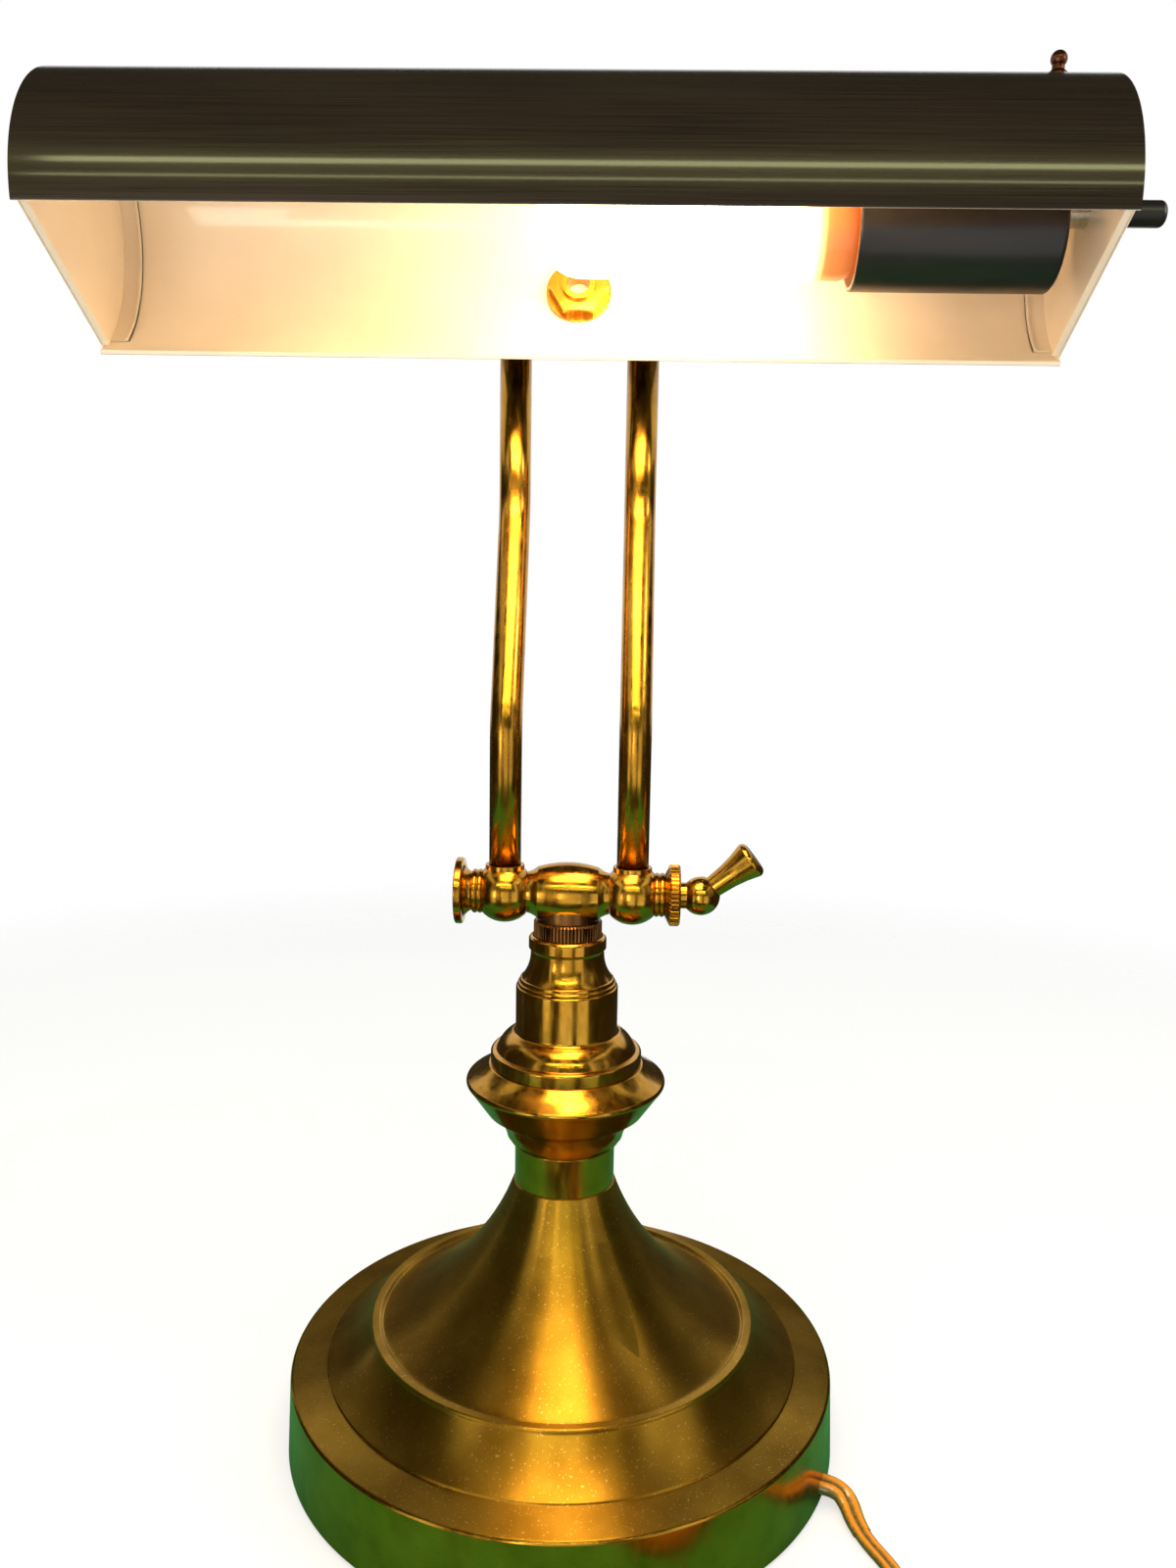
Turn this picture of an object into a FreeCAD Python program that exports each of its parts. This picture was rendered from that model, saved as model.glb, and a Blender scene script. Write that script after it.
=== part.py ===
"""Piano lamp: weighted foot, turned stem, clamped swivel, two bent rods and a tube shade.

The origin is the centre of the felt under the foot, +Z is up, +X runs along the shade
towards the socket end and -Y is the side the light falls on.  Millimetres and degrees.
"""
import FreeCAD, Part
import math
import os
import re
import Sketcher

V = FreeCAD.Vector
doc = FreeCAD.newDocument("PianoLamp")

# ---------------------------------------------------------------------------------------
# Driving dimensions: name, value, meaning.
# ---------------------------------------------------------------------------------------
SIZES = [
    ("fit_gap", 0.05, "radial clearance of a shaft or a pin in its hole"),
    ("face_gap", 0.1, "clearance between flat faces that turn against each other"),
    ("cut_margin", 1.0, "how far a cutting tool starts outside the piece"),
    # foot
    ("felt_thickness", 1.5, "felt under the foot"),
    ("felt_inset", 2.5, "how far the felt stays inside the side wall"),
    ("foot_radius", 113.3, "outside of the side wall at the felt"),
    ("wall_draft", 1.3, "how much narrower the side wall is at its rim"),
    ("wall_height", 32.0, "side wall, felt to rim"),
    ("shell_wall", 1.2, "thickness of the spun brass"),
    ("rim_round", 1.6, "rounding of the rim"),
    ("ledge_width", 15.0, "ledge, side wall to its inner edge"),
    ("ledge_rise", 2.0, "rise of the ledge from the rim inwards"),
    ("ledge_step", 0.9, "small step at the ledge's inner edge"),
    ("cove_round", 46.0, "hollow between ledge and bead"),
    ("bead_inset", 32.4, "bead ring from the side wall"),
    ("bead_height", 18.4, "top of the bead above the rim"),
    ("bead_face", 1.8, "height of the bead's outer face"),
    ("bead_width", 5.0, "bead ring, outside to groove"),
    ("groove_depth", 1.3, "groove inside the bead"),
    ("groove_width", 1.8, "groove inside the bead"),
    ("dome_rise", 76.7, "top of the dome above the rim"),
    ("dome_top_radius", 20.9, "dome where the neck stands on it"),
    ("dome_round", 106.0, "hollow sweep of the dome"),
    ("weight_gap", 10.8, "iron weight from the inside of the side wall"),
    ("weight_thickness", 9.0, "iron weight at its edge"),
    ("weight_hub_radius", 26.0, "boss of the iron weight"),
    ("weight_hub_height", 15.0, "boss of the iron weight"),
    ("weight_bevel", 2.0, "edges of the iron weight"),
    ("nut_recess_radius", 14.0, "recess for the nut under the weight"),
    ("nut_recess_depth", 8.5, "recess for the nut under the weight"),
    # hollow rod, nuts and washers on it
    ("rod_radius", 4.85, "hollow threaded rod through the stem"),
    ("rod_bore", 3.2, "wire way through the hollow rod"),
    ("rod_nut_flats", 15.0, "hexagon nuts on the hollow rod"),
    ("rod_nut_height", 4.5, "hexagon nuts on the hollow rod"),
    ("rod_tail", 1.2, "hollow rod past each of its nuts"),
    ("washer_radius", 12.0, "washer under the weight"),
    ("washer_thickness", 1.5, "washer under the weight"),
    # stem
    ("neck_radius", 20.4, "polished neck"),
    ("neck_wall", 1.4, "polished neck"),
    ("neck_length", 16.3, "polished neck"),
    ("cup_lip", 2.6, "quarter round above the neck"),
    ("cup_lip_height", 3.4, "quarter round above the neck"),
    ("cup_step", 0.7, "small steps between the curves of the cup"),
    ("cup_hollow", 16.0, "cove under the cup"),
    ("cup_band_radius", 31.5, "step line on the underside of the cup"),
    ("cup_band_height", 14.5, "step line on the underside of the cup"),
    ("disc_radius", 40.4, "wide disc"),
    ("disc_height", 26.6, "middle of the disc's edge above the neck"),
    ("disc_edge", 1.3, "rounding of the disc's edge"),
    ("disc_hollow", 30.0, "hollow from the disc up to the skirt"),
    ("cup_height", 34.1, "cup and disc, neck to skirt"),
    ("cup_wall", 2.0, "cup and disc"),
    ("skirt_radius", 30.6, "skirt of the stem body"),
    ("skirt_height", 4.4, "upright face of the skirt"),
    ("skirt_round", 1.2, "rounding over the skirt"),
    ("skirt_wall", 3.0, "skirt of the stem body"),
    ("shoulder_rise", 7.4, "ogee from the skirt to the cylinder"),
    ("shoulder_round", 11.0, "ogee from the skirt to the cylinder"),
    ("body_radius", 20.6, "cylinder of the stem"),
    ("body_fillet", 1.4, "foot of the cylinder"),
    ("body_height", 32.7, "stem body, skirt to cap"),
    ("body_bore", 17.6, "hollow of the stem body"),
    ("body_edge", 1.0, "rounding of the cylinder's top"),
    ("web_height", 12.0, "underside of the web the nut bears on"),
    ("web_thickness", 3.5, "web the nut bears on"),
    ("cap_foot_radius", 19.9, "cap where it meets the cylinder"),
    ("cap_waist_radius", 14.8, "waist of the cap"),
    ("cap_waist_height", 11.6, "waist of the cap"),
    ("cap_bead_radius", 15.6, "rounded top of the cap"),
    ("cap_height", 18.2, "cap above the cylinder"),
    ("cap_bead", 0.7, "fine beads round the cap's foot"),
    ("cap_flank", 14.0, "hollow between foot and waist of the cap"),
    ("cap_top_round", 1.6, "rounding of the cap's top"),
    ("cap_register", 4.0, "turned spigot of the cap inside the cylinder"),
    ("ring_recess", 1.9, "how deep the serrated ring sits in the cap"),
    ("ring_radius", 13.7, "serrated ring"),
    ("ring_stand", 6.4, "serrated ring above the cap"),
    ("ring_clearance", 0.4, "serrated ring inside the cap's recess"),
    ("ring_tooth", 0.7, "depth of the serrations"),
    ("ring_teeth", 60, "serrations of the ring"),
    ("spigot_radius", 5.95, "spigot the top turns on"),
    ("spigot_bore", 4.2, "wire way through the spigot"),
    ("spigot_engagement", 6.0, "spigot inside the barrel's boss"),
    ("spigot_tail", 1.2, "spigot below its collar"),
    ("spigot_collar_radius", 9.5, "round nut that keeps the spigot in the cap"),
    ("spigot_collar_height", 4.5, "round nut that keeps the spigot in the cap"),
    # lower crossbar
    ("barrel_radius", 12.3, "barrel at its middle"),
    ("barrel_swell", 12.0, "half the barrel's round part"),
    ("barrel_swell_radius", 10.5, "barrel where its round part ends"),
    ("barrel_neck", 8.2, "barrel at its ends"),
    ("barrel_hollow", 9.0, "hollow between round part and end"),
    ("barrel_gap", 33.4, "width between the two knuckles"),
    ("barrel_boss_radius", 11.6, "boss under the barrel"),
    ("barrel_boss_drop", 13.0, "end of the boss from the barrel's axis"),
    ("bolt_radius", 4.0, "bolt through the crossbar"),
    ("bolt_depth", 3.4, "bolt inside the end flange"),
    ("bolt_reach", 3.0, "bolt past the middle of the lever's ball"),
    ("rod_spacing", 50.8, "centre to centre of the two arm rods"),
    ("knuckle_radius", 12.2, "ball that holds a rod"),
    ("seat_height", 5.3, "rod end above the bolt's axis"),
    ("socket_wall", 1.4, "collar of the ball round the rod"),
    ("socket_top", 11.3, "collar of the ball above the bolt's axis"),
    ("collar_length", 4.2, "two-bead collar beside a knuckle"),
    ("collar_radius", 8.6, "two-bead collar beside a knuckle"),
    ("collar_bead", 1.2, "rounding of each bead"),
    ("flange_radius", 13.2, "end flange"),
    ("flange_rim", 3.0, "end flange at its edge"),
    ("flange_length", 6.5, "end flange with its neck"),
    ("flange_neck", 7.6, "neck of the end flange"),
    ("flange_hollow", 5.0, "hollow between neck and rim of the flange"),
    ("flange_bevel", 0.5, "edges of the flange"),
    ("clamp_nut_radius", 12.3, "serrated round nut"),
    ("clamp_nut_rim", 4.4, "serrated part of the nut"),
    ("clamp_nut_taper", 1.6, "cone on the nut's inner side"),
    ("nut_tooth", 0.7, "depth of the serrations"),
    ("nut_teeth", 44, "serrations of the nut"),
    ("hub_radius", 7.7, "ball of the thumb lever"),
    ("hub_neck", 5.2, "neck between nut and ball"),
    ("hub_offset", 8.3, "ball centre from the nut's outer face"),
    ("lever_angle", 38.0, "thumb lever above the crossbar"),
    ("lever_length", 26.5, "thumb lever from the ball's centre"),
    ("lever_small", 3.4, "thin end of the thumb lever"),
    ("lever_large", 6.6, "thick end of the thumb lever"),
    ("lever_hollow", 60.0, "hollow side of the thumb lever"),
    ("lever_round", 2.4, "rounding of the thick end"),
    # arm
    ("arm_radius", 6.35, "half inch tube"),
    ("arm_wall", 1.2, "half inch tube"),
    ("arm_low_bend", 68.0, "first bend above the lower axis"),
    ("arm_high_bend", 152.0, "second bend above the lower axis"),
    ("arm_rise", 227.1, "upper axis above the lower axis"),
    ("arm_offset", 33.0, "upper axis behind the lower axis"),
    ("arm_bend_radius", 42.0, "centre line of each bend"),
    ("upper_cap_radius", 8.4, "domed nut of the upper bolt"),
    ("upper_cap_length", 9.0, "domed nut of the upper bolt"),
    ("upper_cap_flat", 4.0, "straight part of the domed nut"),
    ("upper_cap_round", 10.5, "dome of the nut"),
    # shade
    ("shade_radius", 47.2, "outside of the shade tube"),
    ("shade_wall", 0.8, "shade tube and shade ends"),
    ("shade_length", 355.6, "shade tube"),
    ("opening_half", 54.0, "half of the open angle"),
    ("hem_angle", 4.2, "folded edge along each lip"),
    ("shade_tilt", 28.0, "opening turned forward from straight down"),
    ("stud_angle", 100.0, "nipple round the tube from the opening's middle"),
    ("standoff", 14.6, "upper axis behind the shade's wall"),
    ("shade_boss_radius", 9.5, "boss of the upper barrel"),
    ("saddle_radius", 11.0, "saddle between barrel and shade"),
    ("saddle_start", 12.8, "saddle's flat face from the upper axis"),
    ("nipple_radius", 6.35, "nipple through the shade's wall"),
    ("nipple_bore", 4.3, "wire way through the nipple"),
    ("nipple_depth", 7.6, "nipple's end from the upper axis"),
    ("nipple_tail", 1.8, "nipple past its nut"),
    ("shade_washer_radius", 12.4, "washer inside the shade"),
    ("shade_washer_face", 2.6, "washer's flat face from the wall"),
    ("shade_nut_flats", 20.0, "hexagon nut inside the shade"),
    ("shade_nut_height", 4.4, "hexagon nut inside the shade"),
    ("end_flange_width", 7.0, "inner flange of each shade end"),
    ("end_margin", 8.0, "angle between the end's flange and the hem"),
    ("end_lip", 2.4, "turned lip along the open edge of each end"),
    # socket, bulb and switch, places measured from the shade's right end
    ("socket_drop", 2.6, "socket and bulb below the shade's axis, towards the opening"),
    ("socket_gap", 3.5, "socket bracket from the flange of the shade's end"),
    ("sleeve_radius", 19.4, "black socket sleeve"),
    ("sleeve_wall", 1.6, "black socket sleeve"),
    ("sleeve_length", 69.0, "black socket sleeve"),
    ("core_length", 37.5, "insulating core behind the screw shell"),
    ("screw_shell_radius", 13.9, "screw shell in the socket"),
    ("screw_shell_wall", 0.5, "screw shell in the socket"),
    ("screw_shell_length", 22.0, "screw shell in the socket"),
    ("base_radius", 13.1, "screw base of the bulb"),
    ("base_taper", 5.0, "insulator of the screw base"),
    ("contact_radius", 4.6, "contact of the screw base"),
    ("contact_height", 1.2, "contact of the screw base"),
    ("bulb_radius", 15.9, "tubular bulb"),
    ("bulb_length", 117.0, "glass, tip to screw base"),
    ("bulb_seat", 8.0, "end of the glass inside the sleeve"),
    ("bulb_neck_radius", 12.4, "glass where it meets the screw base"),
    ("bulb_neck_length", 12.0, "taper from the tube to the screw base"),
    ("glass_wall", 0.8, "bulb glass"),
    ("mount_length", 34.0, "glass mount of the filament"),
    ("mount_radius", 3.0, "glass mount of the filament"),
    ("bracket_thickness", 1.4, "socket bracket"),
    ("bracket_width", 20.0, "socket bracket"),
    ("bracket_tail", 7.0, "bracket past the ball-tipped screw"),
    ("bracket_drop", 14.0, "bracket below the socket's axis"),
    ("screw_inset", 15.8, "ball-tipped screw from the shade's end"),
    ("screw_angle", 33.0, "ball-tipped screw forward of the point opposite the opening"),
    ("screw_shank", 2.0, "ball-tipped screw"),
    ("screw_flare", 3.4, "ball-tipped screw"),
    ("screw_flange", 1.2, "ball-tipped screw"),
    ("screw_tail", 2.5, "ball-tipped screw below the bracket"),
    ("screw_neck", 2.1, "ball-tipped screw"),
    ("screw_ball", 2.8, "ball-tipped screw"),
    ("screw_stand", 8.4, "ball-tipped screw above the shade"),
    ("switch_rise", 6.5, "switch above the shade's axis, away from the opening"),
    ("bushing_radius", 5.0, "threaded bushing of the switch"),
    ("bushing_seat", 8.0, "bushing inside the socket core"),
    ("bushing_stand", 6.5, "bushing past the shade's end"),
    ("switch_nut_flats", 14.0, "hexagon nut of the switch"),
    ("switch_nut_height", 2.6, "hexagon nut of the switch"),
    ("shaft_radius", 2.5, "switch shaft"),
    ("shaft_grip", 12.0, "switch shaft inside its knob"),
    ("knob_radius", 4.5, "switch knob"),
    ("knob_length", 19.0, "switch knob"),
    ("knob_round", 2.2, "rounded end of the knob"),
    ("knob_clearance", 1.0, "knob from the bushing"),
    # cord
    ("cord_radius", 2.5, "cord, as one round"),
    ("exit_angle", -22.5, "cord exit round the foot from +X"),
    ("exit_height", 6.6, "cord exit above the table"),
    ("grommet_radius", 4.7, "grommet in the side wall"),
    ("grommet_flange", 1.3, "flange of the grommet past its body"),
    ("grommet_stand", 1.6, "grommet outside the wall"),
    ("grommet_tail", 3.0, "grommet inside the wall"),
    ("coil_x", 92.0, "middle of the coil"),
    ("coil_y", -166.0, "middle of the coil"),
    ("coil_radius", 38.0, "middle of the coil's turns"),
    ("coil_width", 24.0, "coil across its turns"),
    ("coil_height", 12.0, "coil above the table"),
    ("coil_bevel", 2.5, "edges of the coil"),
    ("plug_x", 108.0, "cord end of the plug, which lies on the coil"),
    ("plug_y", -204.0, "middle of the plug"),
    ("plug_tail", 9.0, "tapered neck of the plug"),
    ("plug_tail_radius", 4.4, "thin end of the plug's neck"),
    ("plug_neck_radius", 5.4, "thick end of the plug's neck"),
    ("plug_length", 32.0, "plug body"),
    ("plug_shoulder", 5.0, "rounding of the plug's plan"),
    ("plug_width", 24.0, "plug body"),
    ("plug_height", 13.0, "plug body"),
    ("blade_length", 17.0, "plug blades"),
    ("blade_width", 6.4, "plug blades"),
    ("blade_thickness", 1.5, "plug blades"),
    ("blade_spacing", 12.7, "plug blades"),
]

sheet = doc.addObject("Spreadsheet::Sheet", "sizes")
for row, (alias, amount, meaning) in enumerate(SIZES, start=1):
    sheet.set(f"A{row}", alias)
    sheet.set(f"B{row}", str(amount))
    sheet.set(f"C{row}", meaning)
    sheet.setAlias(f"B{row}", alias)
doc.recompute()
NAMES = {alias for alias, amount, meaning in SIZES}

# ---------------------------------------------------------------------------------------
# Sizes worked out from the driving ones, as formulas in their names.
# ---------------------------------------------------------------------------------------
RIM = "(felt_thickness + wall_height)"
RIM_RADIUS = "(foot_radius - wall_draft)"
LEDGE = f"({RIM_RADIUS} - ledge_width)"
BEAD = f"({RIM_RADIUS} - bead_inset)"
WEIGHT = f"({RIM_RADIUS} - shell_wall - weight_gap)"
NECK_FOOT = f"({RIM} + dome_rise)"
CUP_FOOT = f"({NECK_FOOT} + neck_length)"
BODY_FOOT = f"({CUP_FOOT} + cup_height)"
CAP_FOOT = f"({BODY_FOOT} + body_height)"
CAP_TOP = f"({CAP_FOOT} + cap_height)"
RING_TOP = f"({CAP_TOP} + ring_stand)"
PIVOT = f"({RING_TOP} + barrel_boss_drop)"
UPPER_PIVOT = f"({PIVOT} + arm_rise)"
STUD_WORLD = "(stud_angle - shade_tilt - 90)"
SHADE_Y = f"(arm_offset - (shade_radius + standoff) * cos({STUD_WORLD}))"
SHADE_Z = f"({UPPER_PIVOT} - (shade_radius + standoff) * sin({STUD_WORLD}))"
SHADE_INNER = "(shade_radius - shade_wall)"
SHADE_HALF = "(shade_length / 2)"
BRACKET_FACE = f"({SHADE_HALF} - end_flange_width - shade_wall - socket_gap)"
SOCKET_END = f"({BRACKET_FACE} - face_gap - bracket_thickness)"
SOCKET_MOUTH = f"({SOCKET_END} - sleeve_length)"
BULB_NECK = f"({SOCKET_MOUTH} + bulb_seat)"
BULB_TIP = f"({BULB_NECK} - bulb_length)"
SCREW_PLACE = f"({SHADE_HALF} - screw_inset)"
KNUCKLE_HALF = "((rod_spacing - barrel_gap) / 2)"
COLLAR_START = "(rod_spacing / 2 + (rod_spacing - barrel_gap) / 2)"
NUT_START = f"({COLLAR_START} + collar_length + face_gap)"
NUT_END = f"({NUT_START} + clamp_nut_taper + clamp_nut_rim)"
HUB_CENTRE = f"({NUT_END} + hub_offset)"
RECESS_ROOF = "(felt_thickness + nut_recess_depth)"


def linked(formula):
    """The formula as an expression that any object of the document can hold."""
    return re.sub(r"[a-z_]+", lambda word: "sizes." + word[0] if word[0] in NAMES else word[0], str(formula))


def value(formula):
    """The formula's number now."""
    return float(sheet.evalExpression(linked(formula)))


def bind(item, prop, formula):
    item.setExpression(prop, linked(formula))


def place(item, x="0", y="0", z="0", yaw="0", pitch="0", roll="0"):
    """Put an object at x, y, z, turned about X, then Y, then Z."""
    where = f"create(<<vector>>; {x}; {y}; {z})"
    turn = f"create(<<rotation>>; {yaw}; {pitch}; {roll})"
    bind(item, "Placement", f"create(<<placement>>; {where}; {turn})")


def plane_of(body, role):
    return next(item for item in body.Origin.OriginFeatures if item.Role == role)


def new_body(label):
    body = doc.addObject("PartDesign::Body", label)
    body.Label = label
    return body


def arc_middle(start, end, radius, side):
    """The middle of the shorter arc from start to end, bulging to its left (1) or right (-1)."""
    chord = end - start
    left = V(-chord.y, chord.x, 0).normalize()
    sagitta = radius - math.sqrt(radius * radius - chord.Length * chord.Length / 4)
    return (start + end) * 0.5 + left * (side * sagitta)


def draw(body, name, role, steps, closed=True):
    """An outline or path on one of the body's planes, every point held by a formula.

    A step (x, y) is a straight line to that point and (x, y, radius, side) an arc to it,
    bulging to the left (1) or right (-1) of the way there.  A path starts at its first step.
    """
    sketch = body.newObject("Sketcher::SketchObject", name)
    sketch.AttachmentSupport = [(plane_of(body, role), "")]
    sketch.MapMode = "FlatFace"
    points = [V(value(step[0]), value(step[1]), 0) for step in steps]
    drawn = list(range(0 if closed else 1, len(steps)))
    ends = []
    for number, index in enumerate(drawn):
        start, end, step = points[index - 1], points[index], steps[index]
        if len(step) == 2:
            sketch.addGeometry(Part.LineSegment(start, end))
            ends.append((1, 2))
        else:
            middle = arc_middle(start, end, value(step[2]), step[3])
            against = step[3] > 0  # the sketcher keeps every arc anticlockwise
            sketch.addGeometry(Part.Arc(end, middle, start) if against else Part.Arc(start, middle, end))
            ends.append((2, 1) if against else (1, 2))
            held = sketch.addConstraint(Sketcher.Constraint("Radius", number, value(step[2])))
            sketch.renameConstraint(held, f"radius{index}")
            bind(sketch, f"Constraints.radius{index}", step[2])
        hold_point(sketch, number, ends[-1][1], index, step)
    if not closed:
        hold_point(sketch, 0, ends[0][0], 0, steps[0])
    for number in range(len(drawn) if closed else len(drawn) - 1):
        following = (number + 1) % len(drawn)
        meet = Sketcher.Constraint("Coincident", number, ends[number][1], following, ends[following][0])
        sketch.addConstraint(meet)
    return sketch


def hold_point(sketch, number, end, index, step):
    """Two named dimensions from the origin keep one end of an edge where its step says."""
    for kind, formula, letter in (("DistanceX", step[0], "x"), ("DistanceY", step[1], "y")):
        held = sketch.addConstraint(Sketcher.Constraint(kind, -1, 1, number, end, value(formula)))
        sketch.renameConstraint(held, f"{letter}{index}")
        bind(sketch, f"Constraints.{letter}{index}", formula)


def spin(body, name, steps, axis="Z", cut=False):
    """Add or cut what the outline sweeps about the body's Z or X axis.

    About Z the outline's points are (radius, height), about X they are (place, radius).
    """
    sketch = draw(body, f"{name}_outline", "XZ_Plane", steps)
    feature = body.newObject("PartDesign::Groove" if cut else "PartDesign::Revolution", name)
    feature.Profile = sketch
    feature.ReferenceAxis = (sketch, ["V_Axis" if axis == "Z" else "H_Axis"])
    feature.Angle = 360
    return feature


def bore(body, name, radius, start, end):
    """A round hole along the body's X axis."""
    return spin(body, name, [(start, "0"), (end, "0"), (end, radius), (start, radius)], "X", cut=True)


def turned(label, steps, axis="Z", **where):
    """A sub-part turned on the lathe."""
    body = new_body(label)
    spin(body, f"{label}_turned", steps, axis)
    place(body, **where)
    return body


def extrude(body, name, role, steps, length, offset="0", both_ways=False):
    """Pad the outline on one of the body's planes, starting at the offset from that plane."""
    sketch = draw(body, f"{name}_outline", role, steps)
    bind(sketch, ".AttachmentOffset.Base.z", offset)
    pad = body.newObject("PartDesign::Pad", name)
    pad.Profile = sketch
    pad.Midplane = both_ways
    bind(pad, "Length", length)
    return pad


def hexagon(flats):
    """Corners of a hexagon across the given flats."""
    corner = f"({flats} / sqrt(3))"
    return [(f"{corner} * cos({angle})", f"{corner} * sin({angle})") for angle in range(0, 360, 60)]


def hex_nut(label, flats, height, bore, **where):
    """A hexagon nut that stands on its own XY plane."""
    body = new_body(label)
    extrude(body, f"{label}_hexagon", "XY_Plane", hexagon(flats), height)
    hole = [("0", "0"), (bore, "0"), (bore, height), ("0", height)]
    spin(body, f"{label}_bore", hole, cut=True)
    place(body, **where)
    return body


def tube(label, outer, inner, start, end, axis="Z", **where):
    if axis == "Z":
        steps = [(inner, start), (outer, start), (outer, end), (inner, end)]
    else:
        steps = [(start, inner), (end, inner), (end, outer), (start, outer)]
    return turned(label, steps, axis, **where)


def notch(body, radius, depth, count, axis, start, end):
    """Serrations: one V cut along the rim, repeated all round."""
    tip = f"({radius} - {depth})"
    outside = f"({radius} + {depth} / 2)"
    half = f"({depth} * 0.94)"
    role = "XY_Plane" if axis == "Z" else "YZ_Plane"
    steps = [(tip, "0"), (outside, half), (outside, f"-{half}")]
    sketch = draw(body, "notch_outline", role, steps)
    bind(sketch, ".AttachmentOffset.Base.z", start)
    pocket = body.newObject("PartDesign::Pocket", "notch")
    pocket.Profile = sketch
    pocket.Reversed = True
    bind(pocket, "Length", f"{end} - {start}")
    pattern = body.newObject("PartDesign::PolarPattern", "notches")
    pattern.Originals = [pocket]
    pattern.Axis = (plane_axis(body, axis), [""])
    pattern.Angle = 360
    bind(pattern, "Occurrences", count)
    body.Tip = pattern


def plane_axis(body, letter):
    return next(item for item in body.Origin.OriginFeatures if item.Role == f"{letter}_Axis")


def cylinder(name, radius, length, **where):
    """A round tool or blank that stands on its own XY plane."""
    item = doc.addObject("Part::Cylinder", name)
    bind(item, "Radius", radius)
    bind(item, "Height", length)
    place(item, **where)
    return item


def join(kind, label, base, tool):
    """A boolean of two objects that becomes the sub-part with this label."""
    result = doc.addObject(kind, label)
    if kind == "Part::MultiFuse":
        result.Shapes = [base, tool]
    else:
        result.Base = base
        result.Tool = tool
    result.Label = label
    return result


parts = {}


def keep(item):
    parts[item.Label] = item


# ---------------------------------------------------------------------------------------
# Foot
# ---------------------------------------------------------------------------------------
ROD_HOLE = "(rod_radius + fit_gap)"


def felt_pad():
    edge = "(foot_radius - felt_inset)"
    return turned("felt_pad", [("0", "0"), (edge, "0"), (edge, "felt_thickness"), ("0", "felt_thickness")])


def retraced(outline, wall):
    """The outline walked backwards, moved in and down by the wall."""
    steps = []
    for index in reversed(range(len(outline))):
        step = (f"{outline[index][0]} - {wall}", f"{outline[index][1]} - {wall}")
        left = outline[index + 1] if index + 1 < len(outline) else step
        if len(left) == 4:
            step += (left[2], -left[3])
        steps.append(step)
    return steps


def base_shell():
    """Spun brass: side wall, ledge, bead ring, groove and the sweep up to the neck."""
    ledge = f"({RIM} + ledge_rise)"
    bead_top = f"({RIM} + bead_height)"
    bead_floor = f"({bead_top} - groove_depth - shell_wall)"
    groove = f"({BEAD} - bead_width)"
    dome_foot = f"({groove} - groove_width)"
    skirt = [
        (RIM_RADIUS, f"{RIM} - rim_round"),
        (f"{RIM_RADIUS} - rim_round", RIM, "rim_round", -1),
        (LEDGE, ledge),
        (LEDGE, f"{ledge} + ledge_step"),
        (BEAD, f"{bead_top} - bead_face", "cove_round", 1),
    ]
    outside = [("foot_radius", "felt_thickness")] + skirt + [
        (BEAD, f"{bead_top} - bead_face / 2"),
        (f"{BEAD} - bead_face / 2", bead_top, "bead_face / 2", -1),
        (f"{groove} + groove_depth", bead_top),
        (groove, f"{bead_top} - groove_depth"),
        (dome_foot, f"{bead_top} - groove_depth / 2"),
        ("dome_top_radius", NECK_FOOT, "dome_round", 1),
    ]
    inside = [
        (ROD_HOLE, NECK_FOOT),
        (ROD_HOLE, f"{NECK_FOOT} - shell_wall"),
        ("dome_top_radius - shell_wall", f"{NECK_FOOT} - shell_wall"),
        (f"{dome_foot} - shell_wall", f"{bead_top} - groove_depth / 2 - shell_wall", "dome_round", -1),
        (dome_foot, bead_floor),
        (f"{BEAD} - shell_wall", bead_floor),
    ] + retraced(skirt, "shell_wall") + [("foot_radius - shell_wall", "felt_thickness")]
    spun = turned("base_shell_spun", outside + inside)
    drill = cylinder("cord_hole", "grommet_radius", "foot_radius + shell_wall",
                     z="exit_height", yaw="exit_angle + 90", roll="90")
    return join("Part::Cut", "base_shell", spun, drill)


def base_weight():
    top = "(felt_thickness + weight_thickness)"
    hub = "(felt_thickness + weight_hub_height)"
    return turned("base_weight", [
        ("nut_recess_radius", "felt_thickness"),
        (WEIGHT, "felt_thickness"),
        (WEIGHT, f"{top} - weight_bevel"),
        (f"{WEIGHT} - weight_bevel", top),
        ("weight_hub_radius + weight_bevel", top),
        ("weight_hub_radius", hub),
        (ROD_HOLE, hub),
        (ROD_HOLE, RECESS_ROOF),
        ("nut_recess_radius", RECESS_ROOF),
    ])


keep(felt_pad())
keep(base_weight())
keep(base_shell())
keep(tube("base_washer", "washer_radius", ROD_HOLE, f"{RECESS_ROOF} - washer_thickness", RECESS_ROOF))
NUT_SEAT = f"({RECESS_ROOF} - washer_thickness - rod_nut_height)"
keep(hex_nut("base_nut", "rod_nut_flats", "rod_nut_height", ROD_HOLE, z=NUT_SEAT))

# ---------------------------------------------------------------------------------------
# Stem: turned pieces stacked on a hollow rod
# ---------------------------------------------------------------------------------------
WEB_TOP = f"({BODY_FOOT} + web_height + web_thickness)"
SPIGOT_HOLE = "(spigot_radius + fit_gap)"


def neck_sleeve():
    inner = "(neck_radius - neck_wall)"
    return turned("neck_sleeve", [
        (ROD_HOLE, "0"),
        ("neck_radius", "0"),
        ("neck_radius", "neck_length"),
        (inner, "neck_length"),
        (inner, "neck_wall"),
        (ROD_HOLE, "neck_wall"),
    ], z=NECK_FOOT)


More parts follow.
